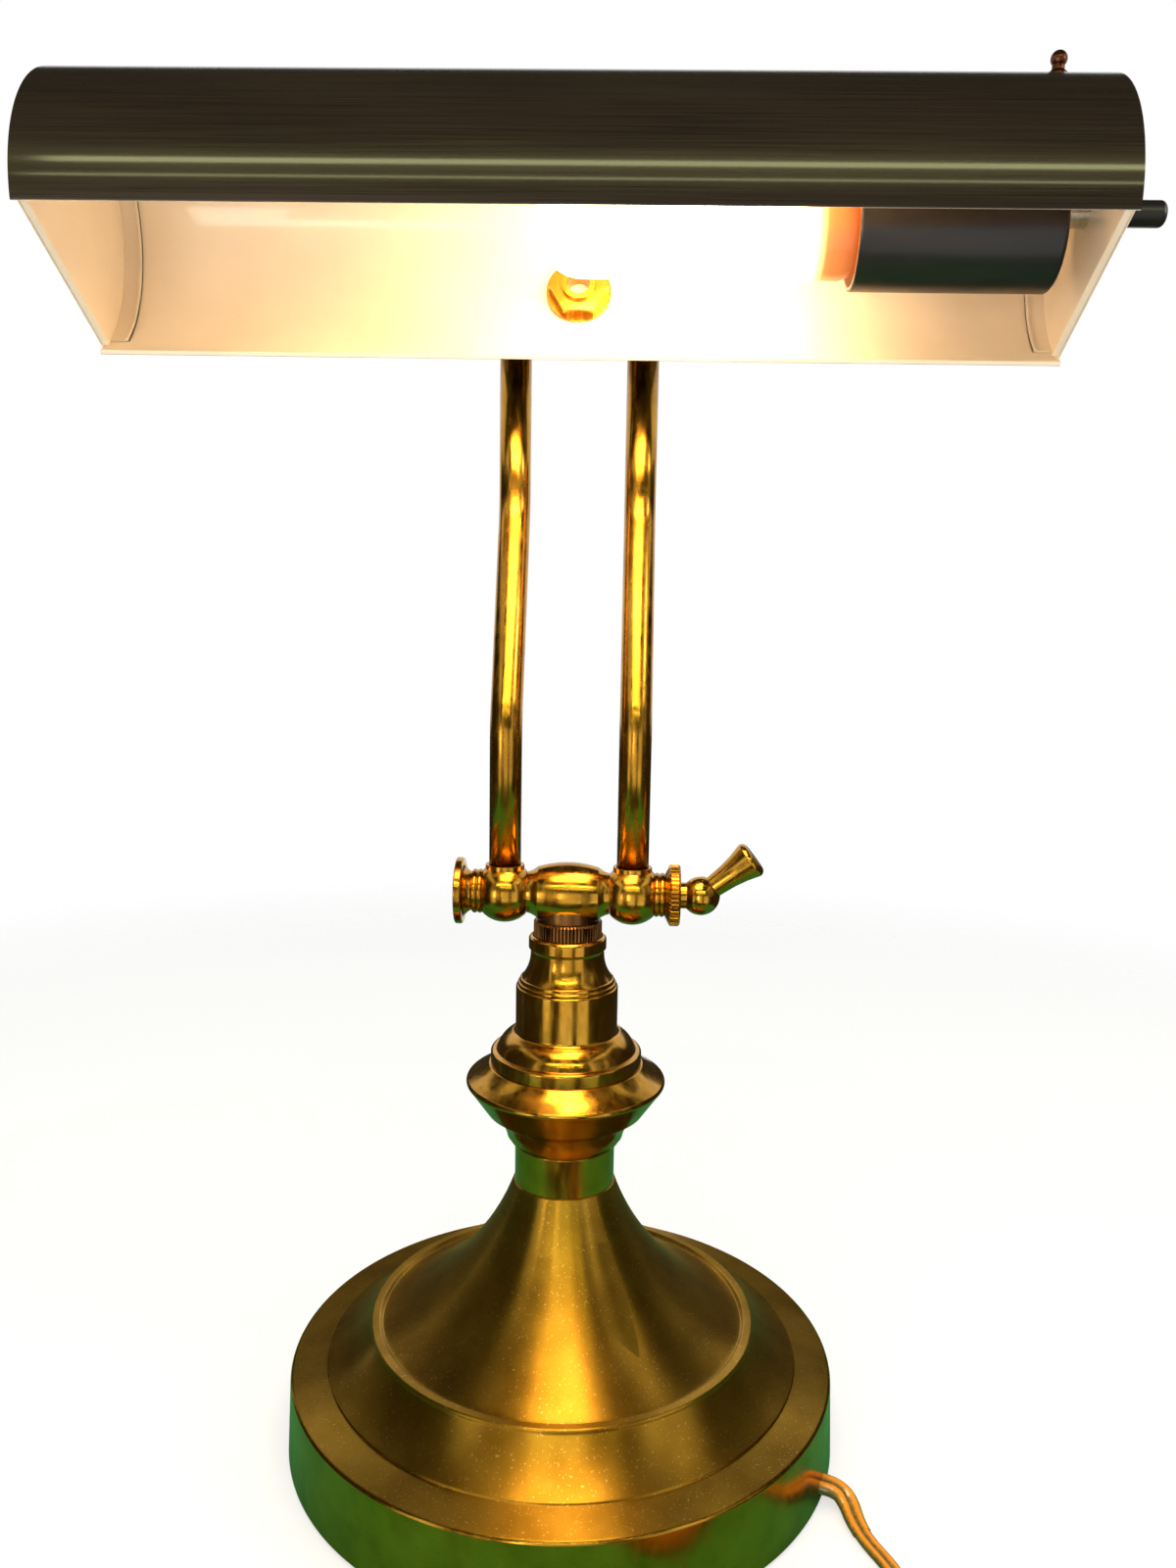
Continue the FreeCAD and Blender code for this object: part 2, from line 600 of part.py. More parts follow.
def stem_cup():
    lip = "(neck_radius + cup_lip)"
    seat = "(skirt_radius - skirt_wall - face_gap)"
    return turned("stem_cup", [
        (ROD_HOLE, "0"),
        ("neck_radius", "0"),
        (lip, "cup_lip_height", "cup_lip * 1.5", -1),
        (f"{lip} + cup_step", "cup_lip_height"),
        ("cup_band_radius", "cup_band_height", "cup_hollow", 1),
        ("cup_band_radius + cup_step", "cup_band_height"),
        ("disc_radius - disc_edge / 2", "disc_height - disc_edge"),
        ("disc_radius - disc_edge / 2", "disc_height + disc_edge", "disc_edge * 1.2", -1),
        ("skirt_radius + cup_step", "cup_height", "disc_hollow", 1),
        (seat, "cup_height"),
        (seat, "cup_height - cup_wall"),
        ("disc_radius - disc_edge - 2 * cup_wall", "disc_height - disc_edge"),
        ("neck_radius - cup_wall", "cup_lip_height"),
        ("neck_radius - cup_wall", "cup_wall"),
        (ROD_HOLE, "cup_wall"),
    ], z=CUP_FOOT)


def stem_body():
    """Skirt, ogee shoulder and cylinder, with a web inside that the nut bears on."""
    brow = "(skirt_height + skirt_round)"
    skirt_inside = "(skirt_radius - skirt_wall)"
    return turned("stem_body", [
        (skirt_inside, "0"),
        ("skirt_radius", "0"),
        ("skirt_radius", "skirt_height"),
        ("skirt_radius - skirt_round", brow, "skirt_round", -1),
        ("skirt_radius - 2 * skirt_round", brow),
        ("body_radius + body_fillet", f"{brow} + shoulder_rise", "shoulder_round", -1),
        ("body_radius", f"{brow} + shoulder_rise + body_fillet", "body_fillet", 1),
        ("body_radius", "body_height - body_edge"),
        ("body_radius - body_edge", "body_height", "body_edge", -1),
        ("body_bore", "body_height"),
        ("body_bore", "web_height + web_thickness"),
        (ROD_HOLE, "web_height + web_thickness"),
        (ROD_HOLE, "web_height"),
        ("body_bore", "web_height"),
        (skirt_inside, "skirt_wall"),
    ], z=BODY_FOOT)


def stem_cap():
    """Vase-shaped cap: two foot beads, a hollow flank, a waist and a rounded top bead."""
    second_bead = "(cap_foot_radius - cap_bead - cap_bead / 4)"
    recess = "(ring_radius + ring_clearance)"
    return turned("stem_cap", [
        ("cap_foot_radius", "0"),
        ("cap_foot_radius", "cap_bead"),
        ("cap_foot_radius - cap_bead", "2 * cap_bead", "cap_bead", -1),
        (second_bead, "2.4 * cap_bead"),
        (second_bead, "3.4 * cap_bead"),
        (f"{second_bead} - cap_bead", "4.4 * cap_bead", "cap_bead", -1),
        ("cap_waist_radius", "cap_waist_height", "cap_flank", 1),
        ("cap_bead_radius", "cap_waist_height + 2 * cap_bead", "3 * cap_bead", 1),
        ("cap_bead_radius", "cap_height - cap_top_round"),
        ("cap_bead_radius - cap_top_round / 2", f"cap_height - cap_top_round / 4", "cap_top_round", -1),
        (recess, "cap_height"),
        (recess, "cap_height - ring_recess"),
        (SPIGOT_HOLE, "cap_height - ring_recess"),
        (SPIGOT_HOLE, "-cap_register"),
        ("body_bore - face_gap", "-cap_register"),
        ("body_bore - face_gap", "0"),
    ], z=CAP_FOOT)


def lock_ring():
    """Serrated ring: plain where it sits in the cap, toothed above, plain at its top edge."""
    height = "(ring_recess - face_gap + ring_stand)"
    ring = new_body("lock_ring")
    spin(ring, "ring_turned", [
        (SPIGOT_HOLE, "0"),
        ("ring_radius", "0"),
        ("ring_radius", f"{height} - ring_tooth"),
        ("ring_radius - ring_tooth", height),
        (SPIGOT_HOLE, height),
    ])
    notch(ring, "ring_radius", "ring_tooth", "ring_teeth", "Z",
          "ring_recess + ring_tooth", f"{height} - ring_tooth")
    place(ring, z=f"{CAP_TOP} - ring_recess + face_gap")
    return ring


keep(neck_sleeve())
keep(stem_cup())
keep(stem_body())
keep(stem_cap())
keep(tube("stem_rod", "rod_radius", "rod_bore", f"{NUT_SEAT} - rod_tail",
          f"{WEB_TOP} + rod_nut_height + rod_tail"))
keep(hex_nut("stem_nut", "rod_nut_flats", "rod_nut_height", ROD_HOLE, z=WEB_TOP))

# ---------------------------------------------------------------------------------------
# Swivel: turns on the cap, carries the lower crossbar
# ---------------------------------------------------------------------------------------
COLLAR_TOP = f"({CAP_FOOT} - cap_register - face_gap)"
COLLAR_BOTTOM = f"({COLLAR_TOP} - spigot_collar_height)"
BOLT_HOLE = "(bolt_radius + fit_gap)"


def barrel(label, boss_radius, boss_drop, hole_radius, hole_top, **where):
    """Swelling barrel on the X axis with a round boss below and a blind hole up into it."""
    half = "(barrel_gap / 2 - face_gap)"
    bulge = "((barrel_swell ^ 2 + (barrel_radius - barrel_swell_radius) ^ 2)"
    bulge += " / (2 * (barrel_radius - barrel_swell_radius)))"
    body = new_body(label)
    spin(body, "barrel_turned", [
        (f"-{half}", "0"),
        (f"-{half}", "barrel_neck"),
        ("-barrel_swell", "barrel_swell_radius", "barrel_hollow", -1),
        ("barrel_swell", "barrel_swell_radius", bulge, 1),
        (half, "barrel_neck", "barrel_hollow", -1),
        (half, "0"),
    ], "X")
    spin(body, "boss", [
        ("0", f"-{boss_drop}"),
        (boss_radius, f"-{boss_drop}"),
        (boss_radius, "0"),
        ("0", "0"),
    ])
    spin(body, "hole", [
        ("0", f"-({boss_drop} + cut_margin)"),
        (hole_radius, f"-({boss_drop} + cut_margin)"),
        (hole_radius, hole_top),
        ("0", hole_top),
    ], cut=True)
    bore(body, "bore", BOLT_HOLE, f"-({half} + cut_margin)", f"{half} + cut_margin")
    place(body, **where)
    return body


keep(lock_ring())
keep(tube("swivel_spigot", "spigot_radius", "spigot_bore", f"{COLLAR_BOTTOM} - spigot_tail",
          f"{RING_TOP} + spigot_engagement"))
keep(tube("spigot_collar", "spigot_collar_radius", SPIGOT_HOLE, COLLAR_BOTTOM, COLLAR_TOP))
keep(barrel("swivel_barrel", "barrel_boss_radius", "barrel_boss_drop", SPIGOT_HOLE,
            "-(barrel_boss_drop - spigot_engagement - fit_gap)", z=PIVOT))

# ---------------------------------------------------------------------------------------
# Arm: knuckles, bolt, end pieces and the two bent rods
# ---------------------------------------------------------------------------------------
def knuckle(label, **where):
    """Ball cut flat on both sides, bored for the bolt, with a socket up for the rod."""
    shoulder = f"sqrt(knuckle_radius ^ 2 - {KNUCKLE_HALF} ^ 2)"
    body = new_body(label)
    spin(body, "ball", [
        (f"-{KNUCKLE_HALF}", "0"),
        (f"-{KNUCKLE_HALF}", shoulder),
        (KNUCKLE_HALF, shoulder, "knuckle_radius", 1),
        (KNUCKLE_HALF, "0"),
    ], "X")
    collar = "(arm_radius + socket_wall)"
    spin(body, "collar", [("0", "0"), (collar, "0"), (collar, "socket_top"), ("0", "socket_top")])
    seat = "(arm_radius + fit_gap)"
    spin(body, "socket", [
        ("0", "seat_height"),
        (seat, "seat_height"),
        (seat, "knuckle_radius + cut_margin"),
        ("0", "knuckle_radius + cut_margin"),
    ], cut=True)
    bore(body, "bore", BOLT_HOLE, f"-({KNUCKLE_HALF} + cut_margin)", f"{KNUCKLE_HALF} + cut_margin")
    place(body, **where)
    return body


def circle(body, name, radius, height):
    """A round profile on the body's XY plane, lifted to the given height."""
    sketch = body.newObject("Sketcher::SketchObject", name)
    sketch.AttachmentSupport = [(plane_of(body, "XY_Plane"), "")]
    sketch.MapMode = "FlatFace"
    sketch.addGeometry(Part.Circle(V(0, 0, 0), V(0, 0, 1), value(radius)))
    sketch.addConstraint(Sketcher.Constraint("Coincident", 0, 3, -1, 1))
    number = sketch.addConstraint(Sketcher.Constraint("Radius", 0, value(radius)))
    sketch.renameConstraint(number, "radius")
    bind(sketch, "Constraints.radius", radius)
    bind(sketch, ".AttachmentOffset.Base.z", height)
    return sketch


def arm_rod(label, **where):
    """Half inch tube: up, leaning back between two bends, and up again."""
    lean = "atan(arm_offset / (arm_high_bend - arm_low_bend))"
    run = f"(arm_bend_radius * tan({lean} / 2))"
    body = new_body(label)
    steps = [
        ("0", "seat_height"),
        ("0", f"arm_low_bend - {run}"),
        (f"{run} * sin({lean})", f"arm_low_bend + {run} * cos({lean})", "arm_bend_radius", 1),
        (f"arm_offset - {run} * sin({lean})", f"arm_high_bend - {run} * cos({lean})"),
        ("arm_offset", f"arm_high_bend + {run}", "arm_bend_radius", -1),
        ("arm_offset", "arm_rise - seat_height"),
    ]
    spine = draw(body, "centre_line", "YZ_Plane", steps, closed=False)
    walls = (("Additive", "outside", "arm_radius"), ("Subtractive", "inside", "arm_radius - arm_wall"))
    for kind, name, radius in walls:
        pipe = body.newObject(f"PartDesign::{kind}Pipe", name)
        pipe.Profile = circle(body, f"{name}_circle", radius, "seat_height")
        pipe.Spine = spine
    place(body, **where)
    return body


def end_flange():
    """Flanged end cap with a hollow neck; it closes the bolt's blind end."""
    rim_start = "(flange_length - flange_rim)"
    return turned("end_flange", [
        ("0", BOLT_HOLE),
        ("0", "flange_neck"),
        (rim_start, "flange_radius - flange_bevel", "flange_hollow", -1),
        (f"{rim_start} + flange_bevel", "flange_radius"),
        ("flange_length - flange_bevel", "flange_radius"),
        ("flange_length", "flange_radius - flange_bevel", "flange_bevel", 1),
        ("flange_length", "0"),
        ("bolt_depth + fit_gap", "0"),
        ("bolt_depth + fit_gap", BOLT_HOLE),
    ], "X", x=f"-({COLLAR_START} + collar_length)", yaw="180", z=PIVOT)


def collar(label, **where):
    """Two fine beads side by side."""
    valley = "(collar_radius - collar_bead / 3)"
    return turned(label, [
        ("0", BOLT_HOLE),
        ("0", valley),
        ("collar_length / 2", valley, "collar_bead", 1),
        ("collar_length", valley, "collar_bead", 1),
        ("collar_length", BOLT_HOLE),
    ], "X", **where)


def clamp_nut():
    edge = "(clamp_nut_taper + clamp_nut_rim)"
    body = new_body("clamp_nut")
    spin(body, "nut_turned", [
        ("0", BOLT_HOLE),
        ("0", "collar_radius"),
        ("clamp_nut_taper", "clamp_nut_radius - nut_tooth"),
        ("clamp_nut_taper + nut_tooth", "clamp_nut_radius"),
        (f"{edge} - nut_tooth", "clamp_nut_radius"),
        (edge, "clamp_nut_radius - nut_tooth"),
        (edge, BOLT_HOLE),
    ], "X")
    notch(body, "clamp_nut_radius", "nut_tooth", "nut_teeth", "X", "clamp_nut_taper", edge)
    place(body, x=NUT_START, z=PIVOT)
    return body


def lever_hub():
    back = "-(hub_offset - face_gap)"
    return turned("lever_hub", [
        (back, BOLT_HOLE),
        (back, "hub_neck"),
        ("-sqrt(hub_radius ^ 2 - hub_neck ^ 2)", "hub_neck"),
        ("hub_radius", "0", "hub_radius", 1),
        ("bolt_reach + fit_gap", "0"),
        ("bolt_reach + fit_gap", BOLT_HOLE),
    ], "X", x=HUB_CENTRE, z=PIVOT)


def clamp_lever():
    """Conical thumb lever whose thin end is hollowed to sit on the ball."""
    root = "(hub_radius / 2)"
    cone = turned("clamp_lever_cone", [
        ("0", root),
        ("lever_small", root),
        ("lever_small", "hub_radius"),
        ("lever_large", "lever_length - lever_round", "lever_hollow", 1),
        ("lever_large - lever_round", "lever_length", "lever_round", -1),
        ("0", "lever_length"),
    ], x=HUB_CENTRE, z=PIVOT, pitch="90 - lever_angle")
    ball = doc.addObject("Part::Sphere", "lever_seat")
    bind(ball, "Radius", "hub_radius + fit_gap")
    place(ball, x=HUB_CENTRE, z=PIVOT)
    return join("Part::Cut", "clamp_lever", cone, ball)


def upper_cap(label, **where):
    """Domed nut that closes an end of the upper bolt."""
    return turned(label, [
        ("0", BOLT_HOLE),
        ("0", "upper_cap_radius"),
        ("upper_cap_flat", "upper_cap_radius"),
        ("upper_cap_length", "0", "upper_cap_round", 1),
        ("bolt_depth + fit_gap", "0"),
        ("bolt_depth + fit_gap", BOLT_HOLE),
    ], "X", **where)


def bolt(label, start, end, **where):
    steps = [(start, "0"), (end, "0"), (end, "bolt_radius"), (start, "bolt_radius")]
    return turned(label, steps, "X", **where)


HALF_SPACING = "rod_spacing / 2"
SIDES = (("left", "-1", "180"), ("right", "1", "0"))
for side, sign, yaw in SIDES:
    rod_place = f"{sign} * {HALF_SPACING}"
    outer_place = f"{sign} * {COLLAR_START}"
    keep(knuckle(f"knuckle_{side}", x=rod_place, z=PIVOT))
    keep(collar(f"collar_{side}", x=outer_place, yaw=yaw, z=PIVOT))
    keep(arm_rod(f"rod_{side}", x=rod_place, z=PIVOT))
    keep(knuckle(f"upper_knuckle_{side}", x=rod_place, y="arm_offset", z=UPPER_PIVOT, roll="180"))
    keep(upper_cap(f"upper_cap_{side}", x=outer_place, y="arm_offset", yaw=yaw, z=UPPER_PIVOT))
keep(end_flange())
keep(bolt("pivot_bolt", f"-({COLLAR_START} + collar_length + bolt_depth)",
          f"{HUB_CENTRE} + bolt_reach", z=PIVOT))
keep(bolt("upper_bolt", f"-({COLLAR_START} + bolt_depth)", f"{COLLAR_START} + bolt_depth",
          y="arm_offset", z=UPPER_PIVOT))
keep(clamp_nut())
keep(lever_hub())
keep(clamp_lever())

# ---------------------------------------------------------------------------------------
# Shade mount: barrel on the upper bolt, saddle, nipple, washer and nut
# ---------------------------------------------------------------------------------------
STUD = {"y": "arm_offset", "z": UPPER_PIVOT, "roll": "stud_angle - shade_tilt"}
AXIS = {"y": SHADE_Y, "z": SHADE_Z}
NIPPLE_HOLE = "(nipple_radius + fit_gap)"
WASHER_FACE = "(standoff + shade_wall + shade_washer_face)"


def shade_core(name, radius):
    """A round bar on the shade's axis, long enough for the saddle and the washer."""
    reach = "(2 * shade_washer_radius)"
    return cylinder(name, radius, f"2 * {reach}", x=f"-{reach}", pitch="90", **AXIS)


def shade_saddle():
    blank = tube("saddle_blank", "saddle_radius", NIPPLE_HOLE, "saddle_start", WASHER_FACE, **STUD)
    return join("Part::Cut", "shade_saddle", blank, shade_core("shade_outside", "shade_radius + fit_gap"))


def shade_washer():
    blank = tube("washer_blank", "shade_washer_radius", NIPPLE_HOLE, "standoff", WASHER_FACE, **STUD)
    inside = shade_core("shade_inside", f"{SHADE_INNER} - fit_gap")
    return join("Part::Common", "shade_washer", blank, inside)


UPPER_BARREL = {**STUD, "roll": "stud_angle - shade_tilt - 180"}
keep(barrel("shade_barrel", "shade_boss_radius", "saddle_start", NIPPLE_HOLE, "-nipple_depth",
            **UPPER_BARREL))
keep(shade_saddle())
keep(shade_washer())
keep(tube("shade_nipple", "nipple_radius", "nipple_bore", "nipple_depth",
          f"{WASHER_FACE} + shade_nut_height + nipple_tail", **STUD))


def along_stud(distance):
    """The frame of the nipple, moved along it from the upper axis."""
    return {
        "y": f"arm_offset - {distance} * cos({STUD_WORLD})",
        "z": f"{UPPER_PIVOT} - {distance} * sin({STUD_WORLD})",
        "roll": STUD["roll"],
    }


keep(hex_nut("shade_nut", "shade_nut_flats", "shade_nut_height", NIPPLE_HOLE, **along_stud(WASHER_FACE)))

# ---------------------------------------------------------------------------------------
# Shade: tube with folded lips and two ends, drawn with the opening straight down
# ---------------------------------------------------------------------------------------
SOCKET = {
    "y": f"{SHADE_Y} - socket_drop * sin(shade_tilt)",
    "z": f"{SHADE_Z} - socket_drop * cos(shade_tilt)",
}
SWITCH = {
    "y": f"{SHADE_Y} + switch_rise * sin(shade_tilt)",
    "z": f"{SHADE_Z} + switch_rise * cos(shade_tilt)",
}
SHADE = {**AXIS, "roll": "-shade_tilt"}
SCREW = {**AXIS, "roll": "screw_angle - shade_tilt"}
SCREW_HOLE = "(screw_shank + fit_gap)"
BUSHING_HOLE = "(bushing_radius + fit_gap)"
HEM_START = "(opening_half + hem_angle)"
CORE_END = f"({SOCKET_END} - sleeve_wall)"
BUSHING_START = f"({CORE_END} - bushing_seat)"


def bored_for_switch(label, blank):
    """The blank with the hole that the switch's bushing passes through."""
    drill = cylinder(f"{label}_drill", BUSHING_HOLE, f"{SHADE_HALF} + cut_margin - {BUSHING_START}",
                     x=BUSHING_START, pitch="90", **SWITCH)
    return join("Part::Cut", label, blank, drill)


def round_the_tube(radius, angle):
    """A point of the section, its angle counted from straight down towards +Y."""
    return (f"{radius} * sin({angle})", f"-{radius} * cos({angle})")


def shade_shell():
    hem = "(shade_radius - 2 * shade_wall)"
    section = [
        round_the_tube("shade_radius", "opening_half"),
        ("0", "shade_radius", "shade_radius", -1),
        round_the_tube("shade_radius", "-opening_half") + ("shade_radius", -1),
        round_the_tube(hem, "-opening_half"),
        round_the_tube(hem, f"-{HEM_START}") + (hem, 1),
        round_the_tube(SHADE_INNER, f"-{HEM_START}"),
        ("0", SHADE_INNER, SHADE_INNER, 1),
        round_the_tube(SHADE_INNER, HEM_START) + (SHADE_INNER, 1),
        round_the_tube(hem, HEM_START),
        round_the_tube(hem, "opening_half") + (hem, 1),
    ]
    rolled = new_body("shade_rolled")
    extrude(rolled, "shade_section", "YZ_Plane", section, "shade_length", both_ways=True)
    place(rolled, **SHADE)
    drill = cylinder("nipple_drill", NIPPLE_HOLE, "4 * shade_washer_face",
                     **along_stud("(standoff - shade_washer_face)"))
    drilled = join("Part::Cut", "shade_drilled", rolled, drill)
    drill = cylinder("screw_drill", SCREW_HOLE, "shade_radius + screw_stand", x=SCREW_PLACE, **SCREW)
    return join("Part::Cut", "shade_shell", drilled, drill)


def shade_end(label, sign, yaw, tilt):
    """D-shaped plate set into the tube's end, with a flange round its arc and a turned lip."""
    rim = f"({SHADE_INNER} - fit_gap)"
    inner = f"({rim} - shade_wall)"
    depth = "(end_flange_width + shade_wall)"
    chord = f"({HEM_START} + fit_gap)"
    start = f"({HEM_START} + end_margin)"
    body = new_body(label)
    extrude(body, "flange", "YZ_Plane", [
        round_the_tube(rim, start),
        ("0", rim, rim, -1),
        round_the_tube(rim, f"-{start}") + (rim, -1),
        round_the_tube(inner, f"-{start}"),
        ("0", inner, inner, 1),
        round_the_tube(inner, start) + (inner, 1),
    ], depth)
    plate = [
        round_the_tube(rim, chord),
        ("0", rim, rim, -1),
        round_the_tube(rim, f"-{chord}") + (rim, -1),
    ]
    extrude(body, "plate", "YZ_Plane", plate, "shade_wall", offset="end_flange_width")
    across = f"({rim} * sin({chord}) - end_lip)"
    low = f"(-{rim} * cos({chord}))"
    extrude(body, "lip", "YZ_Plane", [
        (f"-{across}", low),
        (across, low),
        (across, f"{low} + shade_wall"),
        (f"-{across}", f"{low} + shade_wall"),
    ], "end_lip + shade_wall", offset="end_flange_width - end_lip")
    place(body, x=f"{sign} * ({SHADE_HALF} - {depth})", yaw=yaw, roll=f"{tilt} * shade_tilt", **AXIS)
    return body


keep(shade_shell())
keep(shade_end("shade_end_left", "-1", "180", "1"))
keep(bored_for_switch("shade_end_right", shade_end("right_end_blank", "1", "0", "-1")))

# ---------------------------------------------------------------------------------------
# Socket and bulb on one axis, the switch on another above it
# ---------------------------------------------------------------------------------------
CORE_START = f"({CORE_END} - core_length)"
BUSHING_END = f"({SHADE_HALF} + bushing_stand)"
KNOB_START = f"({BUSHING_END} + knob_clearance)"
BRACKET_TOP = f"(sqrt({SHADE_INNER} ^ 2 - bracket_width ^ 2 / 4) - fit_gap)"


def socket_sleeve():
    edge = "(sleeve_wall / 2)"
    inner = "(sleeve_radius - sleeve_wall)"
    return bored_for_switch("socket_sleeve", turned("sleeve_blank", [
        (SOCKET_MOUTH, inner),
        (SOCKET_MOUTH, f"sleeve_radius - {edge}"),
        (f"{SOCKET_MOUTH} + {edge}", "sleeve_radius", edge, 1),
        (CORE_END, "sleeve_radius"),
        (SOCKET_END, inner, "sleeve_wall", 1),
        (SOCKET_END, "0"),
        (CORE_END, "0"),
        (CORE_END, inner),
    ], "X", **SOCKET))


def socket_core():
    """Insulator that closes the sleeve: the bushing screws into it from behind."""
    outer = "(sleeve_radius - sleeve_wall - fit_gap)"
    return bored_for_switch("socket_core", turned("core_blank", [
        (CORE_START, "0"),
        (CORE_START, outer),
        (CORE_END, outer),
        (CORE_END, "0"),
    ], "X", **SOCKET))


def socket_bracket():
    """Angle plate: its leg stands against the sleeve's end, its tongue runs under the crown."""
    near = f"({SOCKET_END} - {SCREW_PLACE})"
    far = f"({near} + bracket_thickness)"
    under = f"({BRACKET_TOP} - bracket_thickness)"
    body = new_body("bracket_blank")
    extrude(body, "angle", "XZ_Plane", [
        (near, "-bracket_drop"),
        (far, "-bracket_drop"),
        (far, BRACKET_TOP),
        ("-bracket_tail", BRACKET_TOP),
        ("-bracket_tail", under),
        (near, under),
    ], "bracket_width", both_ways=True)
    spin(body, "screw_hole", [
        ("0", "bracket_drop"),
        (SCREW_HOLE, "bracket_drop"),
        (SCREW_HOLE, "shade_radius"),
        ("0", "shade_radius"),
    ], cut=True)
    place(body, x=SCREW_PLACE, **SCREW)
    return bored_for_switch("socket_bracket", body)


def bracket_screw():
    """Ball-tipped thumb screw through the crown into the bracket."""
    ball_foot = "(shade_radius + screw_stand - screw_ball - sqrt(screw_ball ^ 2 - screw_neck ^ 2))"
    return turned("bracket_screw", [
        ("0", f"{BRACKET_TOP} - bracket_thickness - screw_tail"),
        ("screw_shank", f"{BRACKET_TOP} - bracket_thickness - screw_tail"),
        ("screw_shank", "shade_radius"),
        ("screw_flare", "shade_radius"),
        ("screw_flare", "shade_radius + screw_flange"),
        ("screw_neck", "shade_radius + 2 * screw_flange"),
        ("screw_neck", ball_foot),
        ("0", "shade_radius + screw_stand", "screw_ball", -1),
    ], x=SCREW_PLACE, **SCREW)


def bulb_glass():
    """Tubular glass: round tip, straight sides and a short neck into the screw base."""
    inner = "(bulb_radius - glass_wall)"
    dome = f"({BULB_TIP} + bulb_radius)"
    shoulder = f"({BULB_NECK} - bulb_neck_length)"
    return turned("bulb_glass", [
        (BULB_TIP, "0"),
        (dome, "bulb_radius", "bulb_radius", 1),
        (shoulder, "bulb_radius"),
        (BULB_NECK, "bulb_neck_radius"),
        (BULB_NECK, "bulb_neck_radius - glass_wall"),
        (shoulder, inner),
        (dome, inner),
        (f"{BULB_TIP} + glass_wall", "0", inner, -1),
    ], "X", **SOCKET)


def bulb_base():
    return turned("bulb_base", [
        (BULB_NECK, "0"),
        (BULB_NECK, "base_radius"),
        (f"{CORE_START} - base_taper", "base_radius"),
        (f"{CORE_START} - contact_height", "contact_radius"),
        (CORE_START, "contact_radius"),
        (CORE_START, "0"),
    ], "X", **SOCKET)


def switch_knob():
    """Long round knob, bored for the shaft."""
    end = f"({KNOB_START} + knob_length)"
    bore_end = f"({KNOB_START} + shaft_grip + fit_gap)"
    hole = "(shaft_radius + fit_gap)"
    return turned("switch_knob", [
        (KNOB_START, hole),
        (KNOB_START, "knob_radius"),
        (f"{end} - knob_round", "knob_radius"),
        (end, "knob_radius - knob_round", "knob_round", 1),
        (end, "0"),
        (bore_end, "0"),
        (bore_end, hole),
    ], "X", **SWITCH)


keep(socket_sleeve())
keep(socket_core())
keep(tube("socket_shell", "screw_shell_radius", "screw_shell_radius - screw_shell_wall",
          f"{CORE_START} - screw_shell_length", CORE_START, "X", **SOCKET))
keep(socket_bracket())
keep(bracket_screw())
keep(bulb_glass())
keep(bulb_base())
keep(tube("bulb_mount", "mount_radius", "0", f"{BULB_NECK} - mount_length", BULB_NECK, "X", **SOCKET))
keep(tube("switch_bushing", "bushing_radius", "shaft_radius + fit_gap",
          BUSHING_START, BUSHING_END, "X", **SWITCH))
keep(hex_nut("switch_nut", "switch_nut_flats", "switch_nut_height", BUSHING_HOLE,
             x=SHADE_HALF, pitch="90", **SWITCH))
keep(tube("switch_shaft", "shaft_radius", "0", BUSHING_START, f"{KNOB_START} + shaft_grip", "X", **SWITCH))
keep(switch_knob())

# ---------------------------------------------------------------------------------------
# Cord: out of the foot's side, over the table to a coil, with the plug beside it
# ---------------------------------------------------------------------------------------
EXIT = {"yaw": "exit_angle"}
GROMMET_FACE = "(foot_radius + grommet_stand)"


def cord_bushing():
    """Moulded strain relief that fills the hole in the side wall."""
    body = "(grommet_radius - fit_gap)"
    lip = "(grommet_radius + grommet_flange)"
    return turned("cord_bushing", [
        ("foot_radius - shell_wall - grommet_tail", "0"),
        ("foot_radius - shell_wall - grommet_tail", body),
        ("foot_radius", body),
        ("foot_radius", lip),
        (f"{GROMMET_FACE} - grommet_flange", lip),
        (GROMMET_FACE, f"{lip} - grommet_flange", "grommet_flange", 1),
        (GROMMET_FACE, "0"),
    ], "X", z="exit_height", **EXIT)


# Points of the cord after it leaves the relief: x, y and lift above lying flat.
CORD_ROUTE = [
    (113.8, -51.1, 2.8),
    (114.7, -58.0, 1.4),
    (117.6, -67.2, 0.3),
    (123.9, -78.9, 0.0),
    (128.0, -92.0, 0.0),
    (132.5, -106.0, 0.0),
    (132.0, -121.0, 0.6),
    (130.0, -134.0, 2.0),
]


def rounded_path(points):
    """Straight runs joined by arcs, each as large as the two runs beside it allow."""
    edges = []
    start = points[0]
    for before, corner, after in zip(points, points[1:], points[2:]):
        into = (corner - before).normalize()
        out = (after - corner).normalize()
        turn = into.getAngle(out)
        reach = 0.45 * min((corner - before).Length, (after - corner).Length)
        print(f"cord arc: turn {math.degrees(turn):.0f}, radius {reach / math.tan(turn / 2):.1f}")
        first = corner - into * reach
        last = corner + out * reach
        sagitta = reach * math.tan(turn / 4)
        middle = (first + last) * 0.5 + (corner - (first + last) * 0.5).normalize() * sagitta
        edges += [Part.makeLine(start, first), Part.Arc(first, middle, last).toShape()]
        start = last
    return Part.Wire(edges + [Part.makeLine(start, points[-1])])


